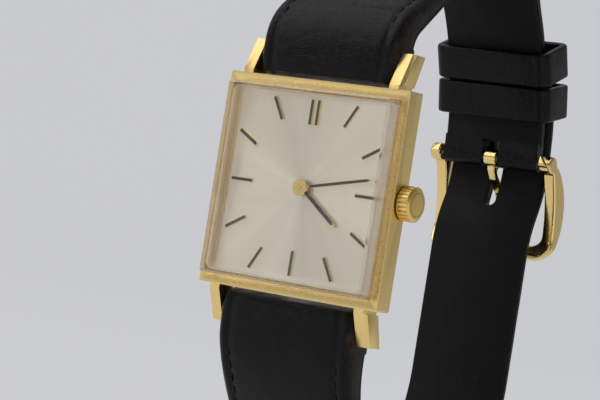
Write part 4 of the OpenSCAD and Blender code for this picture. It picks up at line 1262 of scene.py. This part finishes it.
    def punches(self, part: StrapPart, tongue_run: float) -> Piece:
        """Make the round punches of the holes, and the long one of the hole in use.

        Args:
            part: The strap part.
            tongue_run: Distance from the spring bar of the hole in use.

        Returns:
            One object with every punch.
        """
        verts: list[Vector] = []
        faces: list[list[int]] = []
        angles = [2 * math.pi * k / self.hole_sides for k in range(self.hole_sides)]
        for number in range(self.spare_holes + 1):
            station = part.route.at(tongue_run + number * self.hole_pitch)
            stretch = self.tongue_stretch if number == 0 else 0.0
            round_hole = []
            for angle in angles:
                ahead = self.hole_radius * math.cos(angle)
                round_hole.append((self.hole_radius * math.sin(angle), ahead + math.copysign(stretch, ahead)))
            rings = [[station.point(x, out) + station.along() * ahead for x, ahead in round_hole]
                     for out in (-self.hole_reach, self.hole_reach)]
            points, sides = skin(rings)
            faces += [[len(verts) + corner for corner in face] for face in sides]
            verts += points
        return piece_from("punches", verts, faces, self.finishes.leather, self.hole_angle)

    def keeper(self, node: str, station: Station, body: Body) -> None:
        """Make one leather loop round both strap layers.

        Args:
            node: The solid that it stands for.
            station: Where its middle is.
            body: The body that it moves with.
        """
        wall = self.keeper_wall / 2
        high = self.tail_gap + self.keeper_high
        middle = (high + self.keeper_low) / 2
        bend, soft = self.keeper_radii
        round_path, round_rim = self.keeper_steps
        tall = (high - self.keeper_low) / 2 + wall
        path = rounded_rectangle(self.keeper_half + wall, tall, bend, round_path)
        rim = rounded_rectangle(self.keeper_length / 2, wall, soft, round_rim)
        rings = [[station.point(x + across * b, middle + out + outwards * b) + station.along() * a
                  for a, b, *_ in rim] for x, out, across, outwards in path]
        obj = piece_from(node + "_leather", *skin(rings, looped=True), self.finishes.leather, ROUND_ANGLE)
        obj.data.attributes.new("raw_edge", "FLOAT", "POINT")
        settle(obj, body, node)


@dataclass
class Dial:
    """Hour batons and hands, gilt with black lacquer laid in, with sizes in millimetres."""

    finishes: Finishes
    level: float = -3.9
    reach: Pair = (8.74, 8.84)
    gilt_size: Triple = (3.0, 0.42, 0.20)
    lacquer_size: Triple = (2.92, 0.32, 0.22)
    pair: float = 0.45
    point: float = 0.4
    sink: float = 0.01
    stand: float = 0.025
    sharp: float = 30.0

    def build(self) -> None:
        """Make the batons and the hands' lacquer."""
        bars = ScatterTree("hour_batons", baton_form)
        spots = self.baton_spots()
        gilt = bars.lay("hour_batons_gilt", spots, self.gilt_size, self.finishes.bright_gold)
        settle(gilt, Body.CASE, "hour_markers")
        black = bars.lay("hour_batons_lacquer", spots, self.lacquer_size, self.finishes.lacquer)
        settle(black, Body.CASE)
        self.inlay("minute_hand_lacquer", Body.MINUTE, 78.0, (1.2, 9.4), (0.31, 0.16), -4.65)
        self.inlay("hour_hand_lacquer", Body.HOUR, 126.5, (1.0, 6.2), (0.44, 0.20), -4.27)

    def baton_spots(self) -> list[Spot]:
        """Return the place and directions of each baton, the one at 12 o'clock doubled.

        Returns:
            Place, length direction and upward direction of each.
        """
        spots = []
        for hour in range(12):
            way, side = self.directions(30 * hour)
            reach = min(self.reach[0] / max(abs(way.x), 1e-6), self.reach[1] / max(abs(way.z), 1e-6))
            for shift in ((-self.pair, self.pair) if hour == 0 else (0.0,)):
                place = way * reach + side * shift
                spots.append((Vector((place.x, self.level, place.z)), way, Vector((0.0, -1.0, 0.0))))
        return spots

    def directions(self, angle: float) -> tuple[Vector, Vector]:
        """Return the directions along and across a clock angle in degrees."""
        sine, cosine = math.sin(math.radians(angle)), math.cos(math.radians(angle))
        return Vector((sine, 0.0, cosine)), Vector((cosine, 0.0, -sine))

    def inlay(self, name: str, body: Body, angle: float, ends: Pair,
              widths: Pair, level: float) -> None:
        """Lay a thin black strip on a hand.

        Args:
            name: The piece's name.
            body: The hand's body.
            angle: The hand's clock angle in degrees.
            ends: Where the strip starts and stops, from the hands' axis.
            widths: Its width, and the width from which its tip is halved.
            level: Height of the hand's face.
        """
        way, side = self.directions(angle)
        start, end = ends
        half = widths[0] / 2
        corners = ((start, -half), (end - self.point, -half), (end, -widths[1] / 4), (end, widths[1] / 4),
                   (end - self.point, half), (start, half))
        outline = [way * ahead + side * across for ahead, across in corners]
        rings = [[Vector((p.x, level + rise, p.z)) for p in outline] for rise in (self.sink, -self.stand)]
        settle(piece_from(name, *skin(rings), self.finishes.lacquer, self.sharp), body)


@dataclass
class Hardware:
    """Gold parts with softened edges, and the finishes of the nodes that keep their own mesh."""

    finishes: Finishes
    nodes: dict[str, Piece]
    record: dict

    def build(self) -> None:
        """Round the gold parts' edges and dress the rest."""
        finishes = self.finishes
        bright = finishes.bright_gold
        for edge, material in (
            (SoftEdge("case_body", "case_shell", 0.07, Body.CASE), finishes.gold),
            (SoftEdge("case_back", "case_back_cover", 0.12, Body.CASE), finishes.gold),
            (SoftEdge("crown", "crown_button", 0.05, Body.CROWN, segments=2), finishes.fluted),
            (SoftEdge("buckle_frame", "buckle_arch", 0.42, Body.BUCKLE, voxel=0.12), bright),
            (SoftEdge("buckle_tongue", "buckle_pin", 0.22, Body.TONGUE, voxel=0.08), bright),
            (SoftEdge("crystal", "crystal_dome", 0.10, Body.CASE, Slot.CRYSTAL, 4), finishes.crystal),
        ):
            edge.make(self.nodes, material)
        self.dress_rest()

    def dress_rest(self) -> None:
        """Give every kept node its finish, by its slot in the record."""
        finishes = self.finishes
        by_slot = {
            "case_gold": finishes.gold, "crystal": finishes.crystal, "dial_silver": finishes.dial,
            "black_lacquer": finishes.bright_gold, "steel": finishes.steel, "gilt": finishes.gilt,
            "wheel_brass": finishes.brass, "ruby": finishes.ruby, "blued_steel": finishes.blued,
            "seal": finishes.rubber, "strap_leather": finishes.leather, "lining_leather": finishes.lining,
        }
        slots = {part["node"]: part["material_slot"] for part in self.record["subparts"]}
        for name, obj in self.nodes.items():
            material = by_slot[slots[name]]
            if not obj.material_slots:
                obj.data.materials.append(material)
            for slot in obj.material_slots:
                slot.material = material


@dataclass(frozen=True)
class Studio:
    """Camera, lamps, floor and world."""

    finishes: Finishes
    eye: Triple = (141.88, -219.90, -3.98)
    right: Triple = (0.82544, 0.54221, 0.15702)
    up: Triple = (-0.12574, -0.09456, 0.98755)
    forward: Triple = (-0.55030, 0.83491, 0.00988)
    lens: float = 133.13
    sensor: float = 36.0
    clip: float = 0.01
    aim: Triple = (0.0, 0.01, 0.0)
    near: float = -1.6
    far: float = 0.75
    bend: float = 0.35
    wall: float = 2.2
    half_wide: float = 2.4
    sweep_angle: float = 60.0
    air: Colour = (0.98, 0.99, 1.0)
    bright_way: Triple = (0.10, -0.20, -0.95)
    brightness: Ramp = (-0.30, 0.60, 0.19, 0.88)

    def build(self, floor: float) -> None:
        """Set up the studio.

        Args:
            floor: Height of the floor in metres.
        """
        self.camera()
        self.sweep(floor)
        self.lamp("key_softbox", (-0.52, -0.44, 0.75), 1.05, 4.4, (1.0, 0.985, 0.96))
        self.lamp("top_softbox", (0.05, -0.10, 0.60), 0.55, 0.7, (1.0, 1.0, 1.0))
        self.world()

    def camera(self) -> None:
        """Make the camera at the photograph's place."""
        data = bpy.data.cameras.new("view")
        data.lens = self.lens
        data.sensor_width = self.sensor
        data.clip_start = self.clip
        obj = placed("view", data)
        turn = Matrix((self.right, self.up, tuple(-value for value in self.forward))).transposed()
        obj.matrix_world = Matrix.Translation(Vector(self.eye) * MM) @ turn.to_4x4()
        bpy.context.scene.camera = obj

    def sweep(self, floor: float) -> None:
        """Make the floor, which curves up into a backdrop behind the watch.

        Args:
            floor: Height of the floor in metres.
        """
        away = Vector((self.forward[0], self.forward[1], 0.0)).normalized()
        side = Vector((away.y, -away.x, 0.0))
        profile = [(self.near, 0.0), (self.far, 0.0)]
        for angle in map(math.radians, range(10, 91, 10)):
            profile.append((self.far + self.bend * math.sin(angle), self.bend * (1 - math.cos(angle))))
        profile.append((self.far + self.bend, self.wall))
        verts = []
        for distance, height in profile:
            for offset in (-self.half_wide, self.half_wide):
                point = away * distance + side * offset
                verts.append((point.x / MM, point.y / MM, (floor + height) / MM))
        faces = [[2 * i, 2 * i + 1, 2 * i + 3, 2 * i + 2] for i in range(len(profile) - 1)]
        piece_from("studio_sweep", verts, faces, self.finishes.paper, self.sweep_angle)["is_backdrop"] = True

    def lamp(self, name: str, place: Triple, size: float, power: float, colour: Colour) -> None:
        """Hang a soft lamp that points at the watch.

        Args:
            name: The lamp's name.
            place: Its place in metres.
            size: Its side in metres.
            power: Its power in watts.
            colour: Its colour.
        """
        data = bpy.data.lights.new(name, "AREA")
        data.shape = "SQUARE"
        data.size = size
        data.energy = power
        data.color = colour
        obj = placed(name, data)
        obj.location = place
        obj.rotation_euler = (Vector(self.aim) - Vector(place)).to_track_quat("-Z", "Y").to_euler()

    def world(self) -> None:
        """Fill the room with soft light, brighter from the table in front."""
        world = bpy.data.worlds.new("studio_air")
        world.use_nodes = True
        bpy.context.scene.world = world
        tree = world.node_tree
        tree.nodes.clear()
        way = wire(tree, "ShaderNodeTexCoord").outputs["Generated"]
        toward = wire(tree, "ShaderNodeVectorMath", {0: way, 1: self.bright_way}, operation="DOT_PRODUCT")
        ramp = {"Value": toward.outputs["Value"], **dict(zip(RAMP_INPUTS, self.brightness))}
        level = wire(tree, "ShaderNodeMapRange", ramp).outputs["Result"]
        air = wire(tree, "ShaderNodeBackground", {"Color": (*self.air, 1.0), "Strength": level})
        wire(tree, "ShaderNodeOutputWorld", {"Surface": air.outputs["Background"]})


def main() -> None:
    """Load the frame, dress it and set up the studio."""
    logging.basicConfig(level=logging.INFO, format="%(name)s: %(message)s")
    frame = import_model()
    bpy.context.scene.view_settings.view_transform = "Standard"
    finishes = Finishes()
    Hardware(finishes, frame["nodes"], frame["record"]).build()
    Dial(finishes).build()
    Strap(finishes).build()
    low = min(corner[2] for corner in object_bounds())
    Studio(finishes).build(low - FLOOR_GAP)


if __name__ == "__main__":
    main()
